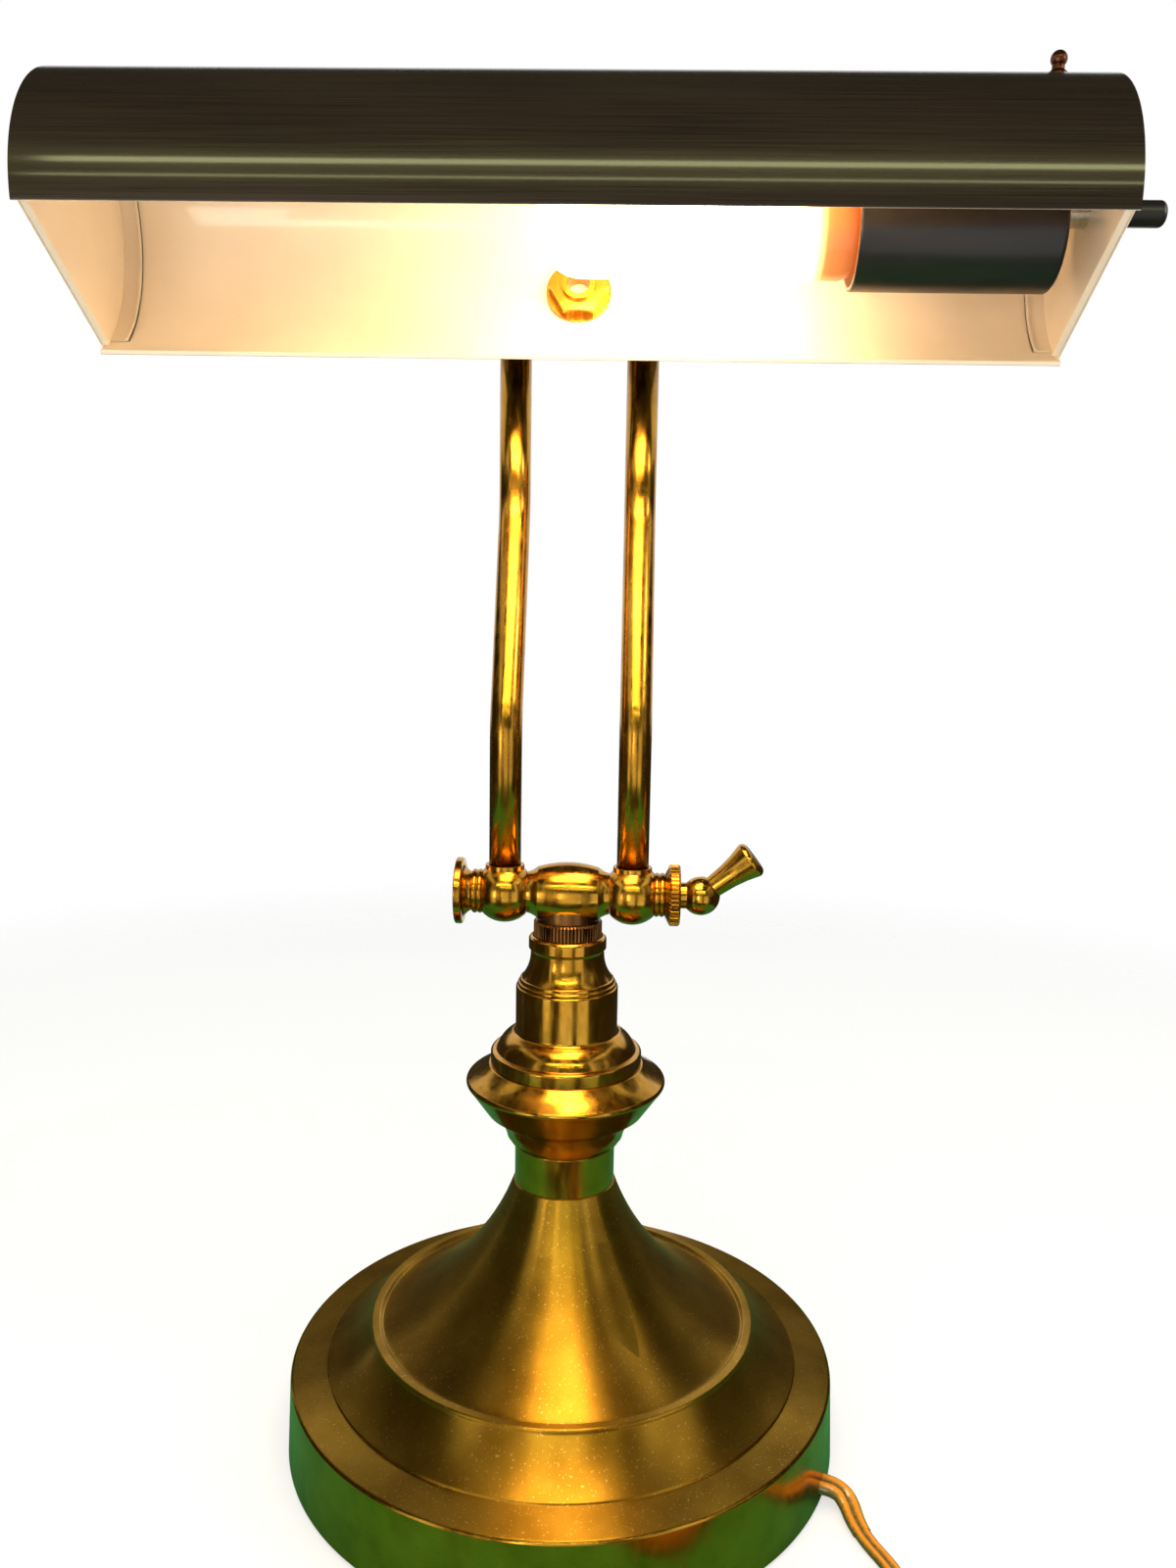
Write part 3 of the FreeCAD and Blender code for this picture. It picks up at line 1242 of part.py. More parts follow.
def cord():
    """The stretch that isn't coiled, as a plain tube."""
    radius = value("cord_radius")
    outward = V(math.cos(math.radians(value("exit_angle"))), math.sin(math.radians(value("exit_angle"))), 0)
    exit_point = outward * value(GROMMET_FACE) + V(0, 0, value("exit_height"))
    route = [exit_point, exit_point + outward * 2 * radius]
    route += [V(x, y, radius + lift) for x, y, lift in CORD_ROUTE]
    path = rounded_path(route)
    section = Part.Wire(Part.makeCircle(radius, exit_point, outward))
    solid = path.makePipeShell([section], True, False)
    expected = math.pi * radius ** 2 * path.Length
    print(f"cord: {path.Length:.1f} long, volume {solid.Volume:.0f} of {expected:.0f}")
    item = doc.addObject("Part::Feature", "cord")
    item.Shape = solid
    return item


def cord_coil():
    """Outer shape of the neatly wound rest of the cord."""
    near = "(coil_radius - coil_width / 2)"
    far = "(coil_radius + coil_width / 2)"
    return turned("cord_coil", [
        (f"{near} + coil_bevel", "0"),
        (f"{far} - coil_bevel", "0"),
        (far, "coil_bevel"),
        (far, "coil_height - coil_bevel"),
        (f"{far} - coil_bevel", "coil_height"),
        (f"{near} + coil_bevel", "coil_height"),
        (near, "coil_height - coil_bevel"),
        (near, "coil_bevel"),
    ], x="coil_x", y="coil_y")


PLUG = {"x": "plug_x", "y": "plug_y", "z": "coil_height + plug_height / 2", "yaw": "180"}


def plug_body():
    end = "(plug_tail + plug_length)"
    side = "(plug_width / 2)"
    body = new_body("plug_body")
    extrude(body, "grip", "XY_Plane", [
        ("plug_tail", f"-({side} - plug_shoulder)"),
        ("plug_tail + plug_shoulder", f"-{side}", "plug_shoulder", -1),
        (f"{end} - plug_shoulder", f"-{side}"),
        (end, f"-({side} - plug_shoulder)", "plug_shoulder", -1),
        (end, f"{side} - plug_shoulder"),
        (f"{end} - plug_shoulder", side, "plug_shoulder", -1),
        ("plug_tail + plug_shoulder", side),
        ("plug_tail", f"{side} - plug_shoulder", "plug_shoulder", -1),
    ], "plug_height", both_ways=True)
    spin(body, "tail", [
        ("0", "0"),
        ("0", "plug_tail_radius"),
        ("plug_tail", "plug_neck_radius"),
        ("plug_tail + plug_shoulder", "plug_neck_radius"),
        ("plug_tail + plug_shoulder", "0"),
    ], "X")
    place(body, **PLUG)
    return body


def plug_blade(label, side):
    blade = doc.addObject("Part::Box", label)
    bind(blade, "Length", "blade_length")
    bind(blade, "Width", "blade_thickness")
    bind(blade, "Height", "blade_width")
    place(
        blade,
        x="plug_x - plug_tail - plug_length - blade_length",
        y=f"plug_y + {side} * blade_spacing / 2 - blade_thickness / 2",
        z="coil_height + plug_height / 2 - blade_width / 2",
    )
    return blade


keep(cord_bushing())
keep(cord())
keep(cord_coil())
keep(plug_body())
keep(plug_blade("plug_blade_left", "-1"))
keep(plug_blade("plug_blade_right", "1"))

# ---------------------------------------------------------------------------------------
# Checks and export
# ---------------------------------------------------------------------------------------
doc.recompute()
faults = [item.Label for item in doc.Objects if "Invalid" in item.State or "Error" in item.State]
for label, item in parts.items():
    if item.Shape.isNull() or not item.Shape.isValid() or len(item.Shape.Solids) != 1:
        faults.append(label)
if faults:
    raise RuntimeError("failed: " + ", ".join(faults))

os.makedirs("parts", exist_ok=True)
for label, item in parts.items():
    item.Shape.exportStep(f"parts/{label}.step")
print(f"{len(parts)} parts")
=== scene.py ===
# %% [markdown]
# # A brass piano lamp
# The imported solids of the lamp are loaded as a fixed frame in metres.  Every piece that shows is
# then made again with finer curves and a real finish, in the place where its solid stands, and
# rides on the same body, so that all the joints still turn.

import math

import bmesh
import bpy
from mathutils import Matrix, Vector


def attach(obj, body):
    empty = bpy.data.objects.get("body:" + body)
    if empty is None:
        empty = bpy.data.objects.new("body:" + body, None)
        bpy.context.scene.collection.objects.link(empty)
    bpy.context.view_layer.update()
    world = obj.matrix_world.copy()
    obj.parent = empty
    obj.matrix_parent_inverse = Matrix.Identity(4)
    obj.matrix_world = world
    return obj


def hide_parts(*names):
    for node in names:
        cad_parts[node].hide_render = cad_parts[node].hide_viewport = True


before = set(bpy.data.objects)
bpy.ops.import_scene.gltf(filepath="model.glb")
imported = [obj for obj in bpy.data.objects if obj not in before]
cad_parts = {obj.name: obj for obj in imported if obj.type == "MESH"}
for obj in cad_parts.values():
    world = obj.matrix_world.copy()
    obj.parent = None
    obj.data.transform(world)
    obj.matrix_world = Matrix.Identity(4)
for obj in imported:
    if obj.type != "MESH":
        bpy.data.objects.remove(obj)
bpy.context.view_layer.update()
MM = 0.001
print("solids:", len(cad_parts))

# %% [markdown]
# ## Where the lamp's axes lie
# A lamp like this is a stack: foot, stem, swivel, two rods and the shade.  The heights below are
# the seats of that stack in millimetres.  Each piece could be drawn where it stands, but it is
# easier to turn it in its own small frame and then set it on its seat, as on the real bench.

# %% Seats of the stack
NECK_FOOT = 110.2
CUP_FOOT = 126.5
BODY_FOOT = 160.6
CAP_FOOT = 193.3
RING_FOOT = 211.9
PIVOT = 230.9
UPPER_Y, UPPER_PIVOT = 33.0, 458.0
ROD_X = 25.4
SHADE_Y, SHADE_Z = -25.775, 477.097
SHADE_TILT = 28.0
STUD_ROLL = 72.0
STEM_BORE = 4.9        # radius of the hole for the hollow rod that holds the stem together
BAR_BORE = 4.05        # radius of the hole for the crossbar's bolt
SIDES = (("left", -1, 180), ("right", 1, 0))    # name, sign of X, and the turn that faces it outwards


def across_shade(rise):
    """Y and Z of a line that runs beside the shade's axis, away from its opening."""
    tilt = math.radians(SHADE_TILT)
    return {"y": SHADE_Y + rise * math.sin(tilt), "z": SHADE_Z + rise * math.cos(tilt)}


SHADE_AXIS, SOCKET_AXIS, SWITCH_AXIS = across_shade(0.0), across_shade(-2.6), across_shade(6.5)
print("shade, socket and switch lie at", SHADE_AXIS, SOCKET_AXIS, SWITCH_AXIS)

# %% [markdown]
# ## The camera
# The lamp is seen from the front, a little from above, from about half a metre away.  A camera
# could be aimed with a constraint, but a written matrix also holds its small roll.  It looks along
# its own -Z, so the matrix is built from the way it looks.

# %% Camera
def show(name, data):
    """A new object with this data, linked into the scene."""
    item = bpy.data.objects.new(name, data)
    bpy.context.scene.collection.objects.link(item)
    return item


def camera_matrix(place, heading, pitch, roll):
    """Columns are the camera's right, up and back, then its place."""
    h, p, r = (math.radians(angle) for angle in (heading, pitch, roll))
    forward = Vector((-math.sin(h) * math.cos(p), math.cos(h) * math.cos(p), -math.sin(p)))
    right = Vector((math.cos(h), math.sin(h), 0))
    up = right.cross(forward)
    tilted = right * math.cos(r) + up * math.sin(r)
    upright = up * math.cos(r) - right * math.sin(r)
    matrix = Matrix((tilted, upright, -forward)).transposed().to_4x4()
    matrix.translation = Vector(place) * MM
    return matrix


camera = show("camera", bpy.data.cameras.new("camera"))
camera.data.sensor_width = 36
camera.data.lens = 29.25
camera.matrix_world = camera_matrix((20.5, -495.5, 353.8), heading=1.55, pitch=9.03, roll=0.97)
bpy.context.scene.camera = camera
bpy.context.scene.view_settings.view_transform = "Standard"
print("camera at", tuple(camera.matrix_world.translation))

# %% [markdown]
# ## Small tools for finishes
# A finish is a tree of nodes.  It could be wired by hand in the shader editor.  In a script one
# function turns a colour as it is written on a chart into the linear numbers that a shader wants,
# and one adds a node with its settings and links, so that a finish reads from pattern to shader.

# %% Colour and node tools
def colour(code):
    """#RRGGBB as linear red, green, blue and a full alpha."""
    parts = [int(code[i:i + 2], 16) / 255 for i in (1, 3, 5)]
    return [c / 12.92 if c <= 0.04045 else ((c + 0.055) / 1.055) ** 2.4 for c in parts] + [1.0]


def add(tree, kind, inputs=None, stops=(), **settings):
    """One node.  An input takes a value, a socket, or a node whose first output feeds it."""
    made = tree.nodes.new("ShaderNode" + kind)
    for name, setting in settings.items():
        setattr(made, name, setting)
    if stops:
        band = made.color_ramp.elements
        while len(band) < len(stops):
            band.new(0.5)
        for element, (place, code) in zip(band, stops):
            element.position, element.color = place, colour(code)
    for name, source in (inputs or {}).items():
        if isinstance(source, bpy.types.Node):
            source = source.outputs[0]
        if isinstance(source, bpy.types.NodeSocket):
            tree.links.new(source, made.inputs[name])
        else:
            made.inputs[name].default_value = source
    return made


def start_finish(name):
    """A new material, its empty tree, and the object coordinates that its patterns read."""
    made = bpy.data.materials.new(name)
    made.use_nodes = True
    tree = made.node_tree
    tree.nodes.clear()
    return made, tree, add(tree, "TexCoord").outputs["Object"]


def end_finish(tree, inputs):
    """Close the tree with one Principled shader."""
    add(tree, "OutputMaterial", {"Surface": add(tree, "BsdfPrincipled", inputs)})


# Nearly all of a noise's values lie between these two, so a range is laid out from one to the other.
FAINT, STRONG = 0.3, 0.7
SPAN = {"From Min": FAINT, "From Max": STRONG}
# The Mix node has sockets with the same names for numbers and colours; these are the colours'.
FIRST, SECOND, BLEND = 6, 7, 2

# %% [markdown]
# ## Polished brass
# The stem, the swivel and the rods are yellow brass, buffed and lacquered.  Buffing leaves an almost
# clear mirror with faint wipes, and years on a piano leave freckles where the lacquer is thin.  A
# metal's colour is the colour of its mirror image, so the base colour is a light gold, and the dark
# bands are left to what the brass mirrors instead of being painted on.

# %% Polished brass
def speckled_tone(tree, where, lump, stops, speck_size, speck, most, limits):
    """A tone that wanders in lumps, with specks of another colour; sizes in millimetres."""
    cloud = add(tree, "TexNoise", {"Vector": where, "Scale": 1 / (lump * MM), "Detail": 5.0})
    tone = add(tree, "ValToRGB", {"Fac": cloud}, stops)
    specks = add(tree, "TexNoise", {"Vector": where, "Scale": 1 / (speck_size * MM), "Detail": 2.0})
    amount = add(tree, "MapRange", {"Value": specks, "From Min": limits[0], "From Max": limits[1], "To Max": most})
    mixed = add(tree, "Mix", {"Factor": amount, FIRST: tone, SECOND: colour(speck)}, data_type="RGBA")
    return mixed.outputs[BLEND]


def polished_finish(name, dark, middle, light, sheen, lacquer):
    """Buffed brass: sheen is the roughness of its mirror, lacquer the weight of its clear coat."""
    made, tree, where = start_finish(name)
    tone = speckled_tone(tree, where, 14.0, [(0.25, dark), (0.50, middle), (0.78, light)],
                         1.1, "#7a4f22", 0.55, (0.66, 0.74))
    # Wipes of the cloth, 2.5 mm wide and four times as long; the real ones are finer.
    along = add(tree, "Mapping", {"Vector": where, "Scale": (1.0, 1.0, 0.25)})
    wipes = add(tree, "TexNoise", {"Vector": along, "Scale": 1 / (2.5 * MM), "Detail": 4.0})
    rough = add(tree, "MapRange", {"Value": wipes, **SPAN, "To Min": sheen * 0.75, "To Max": sheen * 1.7})
    relief = add(tree, "Bump", {"Height": wipes, "Distance": 0.0015 * MM})
    end_finish(tree, {"Base Color": tone, "Metallic": 1.0, "Roughness": rough, "Normal": relief,
                      "Coat Weight": lacquer, "Coat Roughness": 0.06})
    return made


# Buffed castings look like gold mirrors and drawn tube a little duller; a dark brown brass serves the ring and collar
# under the barrel, and on the boss's side it is painted shade.
polished_brass = polished_finish("polished lacquered brass", "#a57523", "#bf8b2c", "#cf9a38", 0.16, 0.06)
rod_brass = polished_finish("drawn brass tube, lacquered", "#9c6f24", "#b8852b", "#c99636", 0.18, 0.05)
brown_brass_and_painted_shade = polished_finish("dark brown brass, painted shade under the barrel", "#46301a", "#6f4a28", "#8f6636", 0.24, 0.0)

# %% [markdown]
# ## Brass brushed in circles
# The dome, the bead and the ledge were brushed while they turned on the spinning lathe.  Thousands
# of fine rings stretch a highlight across themselves, so a lamp overhead shows as a bright fan
# towards whoever looks, with dark flanks beside it.  Bumps alone would need rings too fine to
# render, so anisotropy gives that stretch, with its direction taken round the lamp's axis.

# %% Brushed brass
def brushed_finish(name, dark, middle, light, rough, stretch):
    """Brass with ring-shaped brush marks about the Z axis."""
    made, tree, where = start_finish(name)
    split = add(tree, "SeparateXYZ", {"Vector": where}).outputs
    flat = add(tree, "CombineXYZ", {"X": split["X"], "Y": split["Y"]})
    radius = add(tree, "VectorMath", {0: flat}, operation="LENGTH").outputs["Value"]
    # Rings about 0.4 mm apart; the real marks are ten times finer and would not show.
    across = add(tree, "Math", {0: radius, 1: split["Z"]}, operation="SUBTRACT")
    ring = add(tree, "TexNoise", {"W": across, "Scale": 1 / (0.4 * MM), "Detail": 3.0},
               noise_dimensions="1D")
    tone = speckled_tone(tree, where, 22.0, [(0.30, dark), (0.52, middle), (0.75, light)],
                         0.9, "#e2b860", 0.9, (0.64, 0.70))
    uneven = add(tree, "MapRange", {"Value": ring, **SPAN, "To Min": rough * 0.94, "To Max": rough * 1.06})
    relief = add(tree, "Bump", {"Height": ring, "Distance": 0.0015 * MM})
    tangent = add(tree, "Tangent", direction_type="RADIAL", axis="Z")
    end_finish(tree, {"Base Color": tone, "Metallic": 1.0, "Roughness": uneven, "Normal": relief,
                      "Anisotropic": stretch, "Anisotropic Rotation": 0.25, "Tangent": tangent})
    return made


brushed_brass = brushed_finish("brass brushed in rings", "#9b7220", "#b4882a", "#c79834", 0.34, 0.90)
print("brass finishes:", [m.name for m in bpy.data.materials])

# %% [markdown]
# ## Shade lacquer
# The shade is rolled steel with a thin dark bronze lacquer.  The steel was brushed along its length
# first, so faint streaks run from end to end.  They could be an image, but noise that is stretched
# a hundred times along X has no seam and no end.

# %% Shade lacquer
bronze, tree, where = start_finish("dark bronze lacquer on steel")
drawn = add(tree, "Mapping", {"Vector": where, "Scale": (0.008, 1.0, 1.0)})
# Streaks half a millimetre apart; the real ones are finer still.
streaks = add(tree, "TexNoise", {"Vector": drawn, "Scale": 1 / (0.5 * MM), "Detail": 4.0})
longer = add(tree, "Mapping", {"Vector": where, "Scale": (0.3, 1.0, 1.0)})
cloud = add(tree, "TexNoise", {"Vector": longer, "Scale": 1 / (50.0 * MM), "Detail": 4.0})
both = add(tree, "Math", {0: streaks, 1: cloud}, operation="ADD")
even = add(tree, "MapRange", {"Value": both, "From Min": 2 * FAINT, "From Max": 2 * STRONG})
rough = add(tree, "MapRange", {"Value": streaks, **SPAN, "To Min": 0.26, "To Max": 0.34})
tone = add(tree, "ValToRGB", {"Fac": even}, [(0.2, "#1f1811"), (0.5, "#271f17"), (0.8, "#30271d")])
relief = add(tree, "Bump", {"Height": streaks, "Distance": 0.003 * MM})
end_finish(tree, {"Base Color": tone, "Metallic": 0.3, "Roughness": rough, "Normal": relief,
                  "Specular IOR Level": 0.20, "Coat Weight": 0.5, "Coat Roughness": 0.09})

# %% [markdown]
# ## Plain finishes
# Inside, the shade is baked enamel, and the socket and the knob are moulded phenolic.  The other
# parts are plated steel, cast iron, felt and fibre.  Each wanders a little between two tones, as a
# real surface does, so one function makes them all and only their sizes and colours differ.

# %% Enamel, phenolic, copper, fibre, steel, iron and felt
def plain_finish(name, lump, tones, looks, detail=4.0, ragged=0.5, stretch=(1, 1, 1), sheen=None, pores=None,
                 relief=0.0):
    """A finish whose two tones lie in lumps of so many millimetres.

    looks are values for the shader, sheen is a range for its roughness, pores are the size and
    detail of bumps finer than the lumps, and relief is the height of the bumps.
    """
    made, tree, where = start_finish(name)
    along = add(tree, "Mapping", {"Vector": where, "Scale": stretch})
    cloud = add(tree, "TexNoise", {
        "Vector": along, "Scale": 1 / (lump * MM), "Detail": detail, "Roughness": ragged})
    tone = add(tree, "ValToRGB", {"Fac": cloud}, list(zip((FAINT, STRONG), tones)))
    inputs = {"Base Color": tone, **looks}
    if sheen:
        inputs["Roughness"] = add(tree, "MapRange", {"Value": cloud, **SPAN, "To Min": sheen[0], "To Max": sheen[1]})
    if pores:
        cloud = add(tree, "TexNoise", {"Vector": where, "Scale": 1 / (pores[0] * MM), "Detail": pores[1]})
    if relief:
        inputs["Normal"] = add(tree, "Bump", {"Height": cloud, "Distance": relief * MM})
    end_finish(tree, inputs)
    return made


# Baked enamel flows before it hardens: glossy, with a faint orange peel 1.6 mm across.
enamel = plain_finish("cream baked enamel", 40.0, ("#dccbb3", "#e5d5bf"),
                      {"Roughness": 0.35, "Coat Weight": 0.6, "Coat Roughness": 0.08}, pores=(1.6, 2.0), relief=0.006)
# Phenolic comes from its mould almost black, with a soft shine that handling dulls in patches.
phenolic = plain_finish("black moulded phenolic", 6.0, ("#130f0f", "#1c1716"),
                        {"Coat Weight": 0.12, "Coat Roughness": 0.15}, stretch=(0.3, 1.0, 1.0), sheen=(0.34, 0.42),
                        pores=(0.8, 3.0), relief=0.003)
# The ball-tipped screw is painted dark brown all over, as painted shade on the shade's crown, with spots of a
# millimetre or two.
dark_painted_shade_metal = plain_finish("dark brown metal, painted shade", 1.5, ("#2e1a12", "#6e3f26"),
                           {"Metallic": 0.9, "Roughness": 0.35})
# Pressed fibre is dull and pale, with threads a little under a millimetre.
fibre_liner = plain_finish("pale insulating fibre", 0.8, ("#b9aa92", "#d5c8b0"), {"Roughness": 0.7}, detail=5.0)
# Zinc plating is a grey mirror with a satin grain that the drawn wire leaves along it.
plated = plain_finish("zinc-plated steel", 1.2, ("#b9b5ab", "#d6d2c8"), {"Metallic": 1.0}, stretch=(1.0, 1.0, 0.2),
                      sheen=(0.28, 0.42))
# Sand casting leaves iron with grains of a millimetre, and black paint fills them only partly.
iron = plain_finish("black cast iron", 1.0, ("#26231f", "#3b3732"), {"Metallic": 0.6, "Roughness": 0.7}, detail=5.0,
                    relief=0.15)
# Felt is matted wool; its fibres are finer, and clumps of 0.6 mm are what the eye sees.
felt = plain_finish("green wool felt", 0.6, ("#123a22", "#1f5a36"), {"Roughness": 0.95, "Sheen Weight": 0.5},
                    detail=6.0, ragged=0.7, relief=0.25)
print("finishes:", len(bpy.data.materials))

# %% [markdown]
# ## The lit bulb
# The bulb is a frosted glass tube with a glowing wire inside.  A wire behind real glass takes long
# to render without grain, and frosting hides it anyway, so the whole tube glows: warm white in the
# middle, and orange where the glass narrows to the screw base.

# %% Glowing bulb
GLOW_END, NECK_LIT, NECK_DARK = 0.076, 0.086, 0.096    # metres along X, from the even glow to the base
glow, tree, where = start_finish("frosted glass, lit")
reach = add(tree, "SeparateXYZ", {"Vector": where}).outputs["X"]
along = add(tree, "MapRange", {"Value": reach, "From Min": GLOW_END, "From Max": NECK_DARK})
power = add(tree, "MapRange", {
    "Value": reach, "From Min": GLOW_END, "From Max": NECK_LIT, "To Min": 18.0, "To Max": 0.5})
# The base colour is white frost that turns orange and brown towards the screw base: painted glow of the lit neck.
frost_and_painted_glow = add(tree, "ValToRGB", {"Fac": along}, [(0.1, "#f6ead2"), (0.5, "#d98648"), (1.0, "#a8521f")])
warmth = add(tree, "ValToRGB", {"Fac": along},
             [(0.0, "#ffe9bd"), (0.3, "#ffb060"), (0.6, "#e8762e"), (1.0, "#c05a24")])
end_finish(tree, {"Base Color": frost_and_painted_glow, "Roughness": 0.35, "Coat Weight": 0.4, "Emission Color": warmth,
                  "Emission Strength": power})

# %% [markdown]
# ## The mains lead
# The flat two-core lead leaves the foot at the right, runs forward over the table and is put away
# in a neat coil with its plug on top.  Its line is one smooth spline through a few points, and the
# coil's turns are more points of the same spline: three beside each other and three layers high.

# %% Route of the lead
CORD_HALF = 1.7        # half the lead's thickness, in millimetres
CORD_WIDTH = 6.6       # across both cores
EXIT_BEARING, EXIT_REACH, EXIT_HEIGHT = math.radians(-22.5), 114.9, 6.6
out = Vector((math.cos(EXIT_BEARING), math.sin(EXIT_BEARING), 0))
exit_point = out * EXIT_REACH + Vector((0, 0, EXIT_HEIGHT))
route = [exit_point, exit_point + out * 5.0]
for x, y, lift in ((113.8, -51.1, 2.8), (114.7, -58.0, 1.4), (117.6, -67.2, 0.3), (123.9, -78.9, 0.0),
                   (128.0, -92.0, 0.0), (132.5, -106.0, 0.0), (132.0, -121.0, 0.0), (134.0, -134.0, 0.0)):
    route.append(Vector((x, y, CORD_HALF + lift)))
COIL = Vector((92.0, -166.0, 0))
COIL_START = math.radians(10)
TURNS, PER_TURN, LAYER_RISE = 7, 14, 3.7
LANE_CHANGE = 2.2      # a turn has reached its own lane after 1 / 2.2 of the way round
# Radius and layer of each turn, from the first on the table to the last on top.
lanes = [(45.2, 0), (38.0, 0), (30.8, 0), (31.4, 1), (38.4, 1), (44.6, 1), (38.0, 2), (38.0, 2)]
for step in range(TURNS * PER_TURN):
    turn = step / PER_TURN
    lane = int(turn)
    ease = min(1.0, (turn - lane) * LANE_CHANGE)
    before, after = lanes[max(lane - 1, 0)], lanes[lane]
    radius = before[0] + (after[0] - before[0]) * ease
    layer = before[1] + (after[1] - before[1]) * ease
    angle = COIL_START - turn * 2 * math.pi
    around = Vector((math.cos(angle), math.sin(angle), 0)) * radius
    route.append(COIL + around + Vector((0, 0, CORD_HALF + layer * LAYER_RISE)))
# The last stretch rises over the third layer and swings round into the plug's neck.
for x, y, height in ((130.2, -160.5, 9.1), (130.3, -176.0, 9.3), (128.0, -187.0, 10.8), (122.0, -196.2, 13.6),
                     (112.9, -202.5, 16.9), (106.0, -204.0, 18.3), (102.0, -204.0, 18.5)):
    route.append(Vector((x, y, height)))
print("points of the lead:", len(route))

# %% [markdown]
# ## The lead's two cores
# The spline itself has no thickness.  A round bevel would give one core, so a second curve with the
# outline of two, like a figure of eight, is run along it, and the tube that comes out is kept as a
# mesh.

# %% Lead as a mesh
def smooth_line(name, points):
    """An open NURBS curve object with these points, given in millimetres."""
    data = bpy.data.curves.new(name, "CURVE")
    data.dimensions = "3D"
    data.resolution_u = 6
    data.twist_mode = "Z_UP"
    spline = data.splines.new("NURBS")
    spline.points.add(len(points) - 1)
    for point, place in zip(spline.points, points):
        point.co = (*(place * MM), 1.0)
    spline.order_u = 3
    spline.use_endpoint_u = True
    return show(name, data)


def as_mesh(item):
    """What the object shows now, as a mesh of its own."""
    bpy.context.view_layer.update()
    depsgraph = bpy.context.evaluated_depsgraph_get()
    return bpy.data.meshes.new_from_object(item.evaluated_get(depsgraph), depsgraph=depsgraph)


def twin_core_section(width, thickness, steps=10, half_turn=140):
    """Closed outline of two touching cores, and how far from a core's middle each point lies."""
    core = thickness / 2
    centre = width / 2 - core
    points, reach = [], []
    for side in (1, -1):
        for step in range(steps + 1):
            angle = math.radians(-half_turn + 2 * half_turn * step / steps) + (0 if side == 1 else math.pi)
            points.append(Vector((side * centre + core * math.cos(angle), core * math.sin(angle), 0)))
            reach.append(abs(math.cos(angle)))
    return points, reach


def tube_along(name, line):
    """The tube that the two cores' outline makes along the line, which goes away."""
    section = show("section", bpy.data.curves.new("section", "CURVE"))
    outline = section.data.splines.new("POLY")
    outline.points.add(len(section_points) - 1)
    for point, place in zip(outline.points, section_points):
        point.co = (*(place * MM), 1.0)
    outline.use_cyclic_u = True
    line.data.bevel_mode = "OBJECT"
    line.data.bevel_object = section
    line.data.use_fill_caps = True
    tube = show(name, as_mesh(line))
    for item in (line, section):
        bpy.data.objects.remove(item)
    return tube


section_points, section_reach = twin_core_section(CORD_WIDTH, 2 * CORD_HALF)
line = smooth_line("cord_line", route)
path = [vertex.co.copy() for vertex in as_mesh(line).vertices]
cord = tube_along("lamp_lead", line)

# %% [markdown]
# ## The lead's skin
# The skin is clear gold plastic.  Over the middle of each core the copper strands shine through in
# orange, and towards the edges the plastic alone looks olive.  Real layers of plastic over copper
# would say the same with more work, so each vertex keeps how far from a core's middle it lies.

# %% Finish of the lead
gold_pvc, tree, where = start_finish("clear gold vinyl over copper strands")
reach = add(tree, "Attribute", attribute_name="core_edge").outputs["Fac"]
# Bundles of strands 1.4 mm long; single strands are a tenth of a millimetre.
strands = add(tree, "TexNoise", {"Vector": where, "Scale": 1 / (1.4 * MM), "Detail": 3.0})
stray = add(tree, "MapRange", {"Value": strands, **SPAN, "To Min": -0.10, "To Max": 0.10})
mixed = add(tree, "Math", {0: reach, 1: stray}, operation="ADD")
tone = add(tree, "ValToRGB", {"Fac": mixed},
           [(0.0, "#ec9722"), (0.4, "#cf8122"), (0.65, "#836527"), (0.9, "#484521")])
end_finish(tree, {"Base Color": tone, "Roughness": 0.25, "Coat Weight": 0.4})
# The plug is moulded from the same plastic without copper under it: flat gold with a fine grain.
moulded_pvc = plain_finish("moulded gold vinyl", 4.0, ("#73592a", "#8c6a2c"), {"Roughness": 0.3, "Coat Weight": 0.3},
                           detail=3.0, pores=(0.7, 2.0), relief=0.02)


def skin(mesh):
    """Give the mesh the lead's finish, and keep how far each vertex lies from a core's middle."""
    edge = mesh.attributes.new("core_edge", "FLOAT", "POINT")
    for index in range(len(mesh.vertices)):
        edge.data[index].value = section_reach[index % len(section_reach)]
    mesh.shade_smooth()
    mesh.materials.clear()
    mesh.materials.append(gold_pvc)


skin(cord.data)
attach(cord, "base")
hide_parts("cord", "cord_coil")

# %% [markdown]
# ## Turning on the lathe
# Most of the lamp is round.  A Screw modifier could turn a profile, but bmesh's spin gives a mesh
# at once.  The outlines are walked in the same steps as the bench drawings: a step is a straight
# run to a point, or an arc to it with a radius and the side it bulges to.  Sharp corners get a tiny
# round that catches the light, and the whole line is spun once about the axis.

# %% Outline and lathe
SHARP_CORNER = 20      # degrees; an outline that turns less than this is a smooth run
SAME_PLACE = 0.0000005 # metres; points nearer than this become one


def only(kind, geometry):
    """The vertices, edges or faces in what an operator gives back."""
    return [item for item in geometry if isinstance(item, kind)]


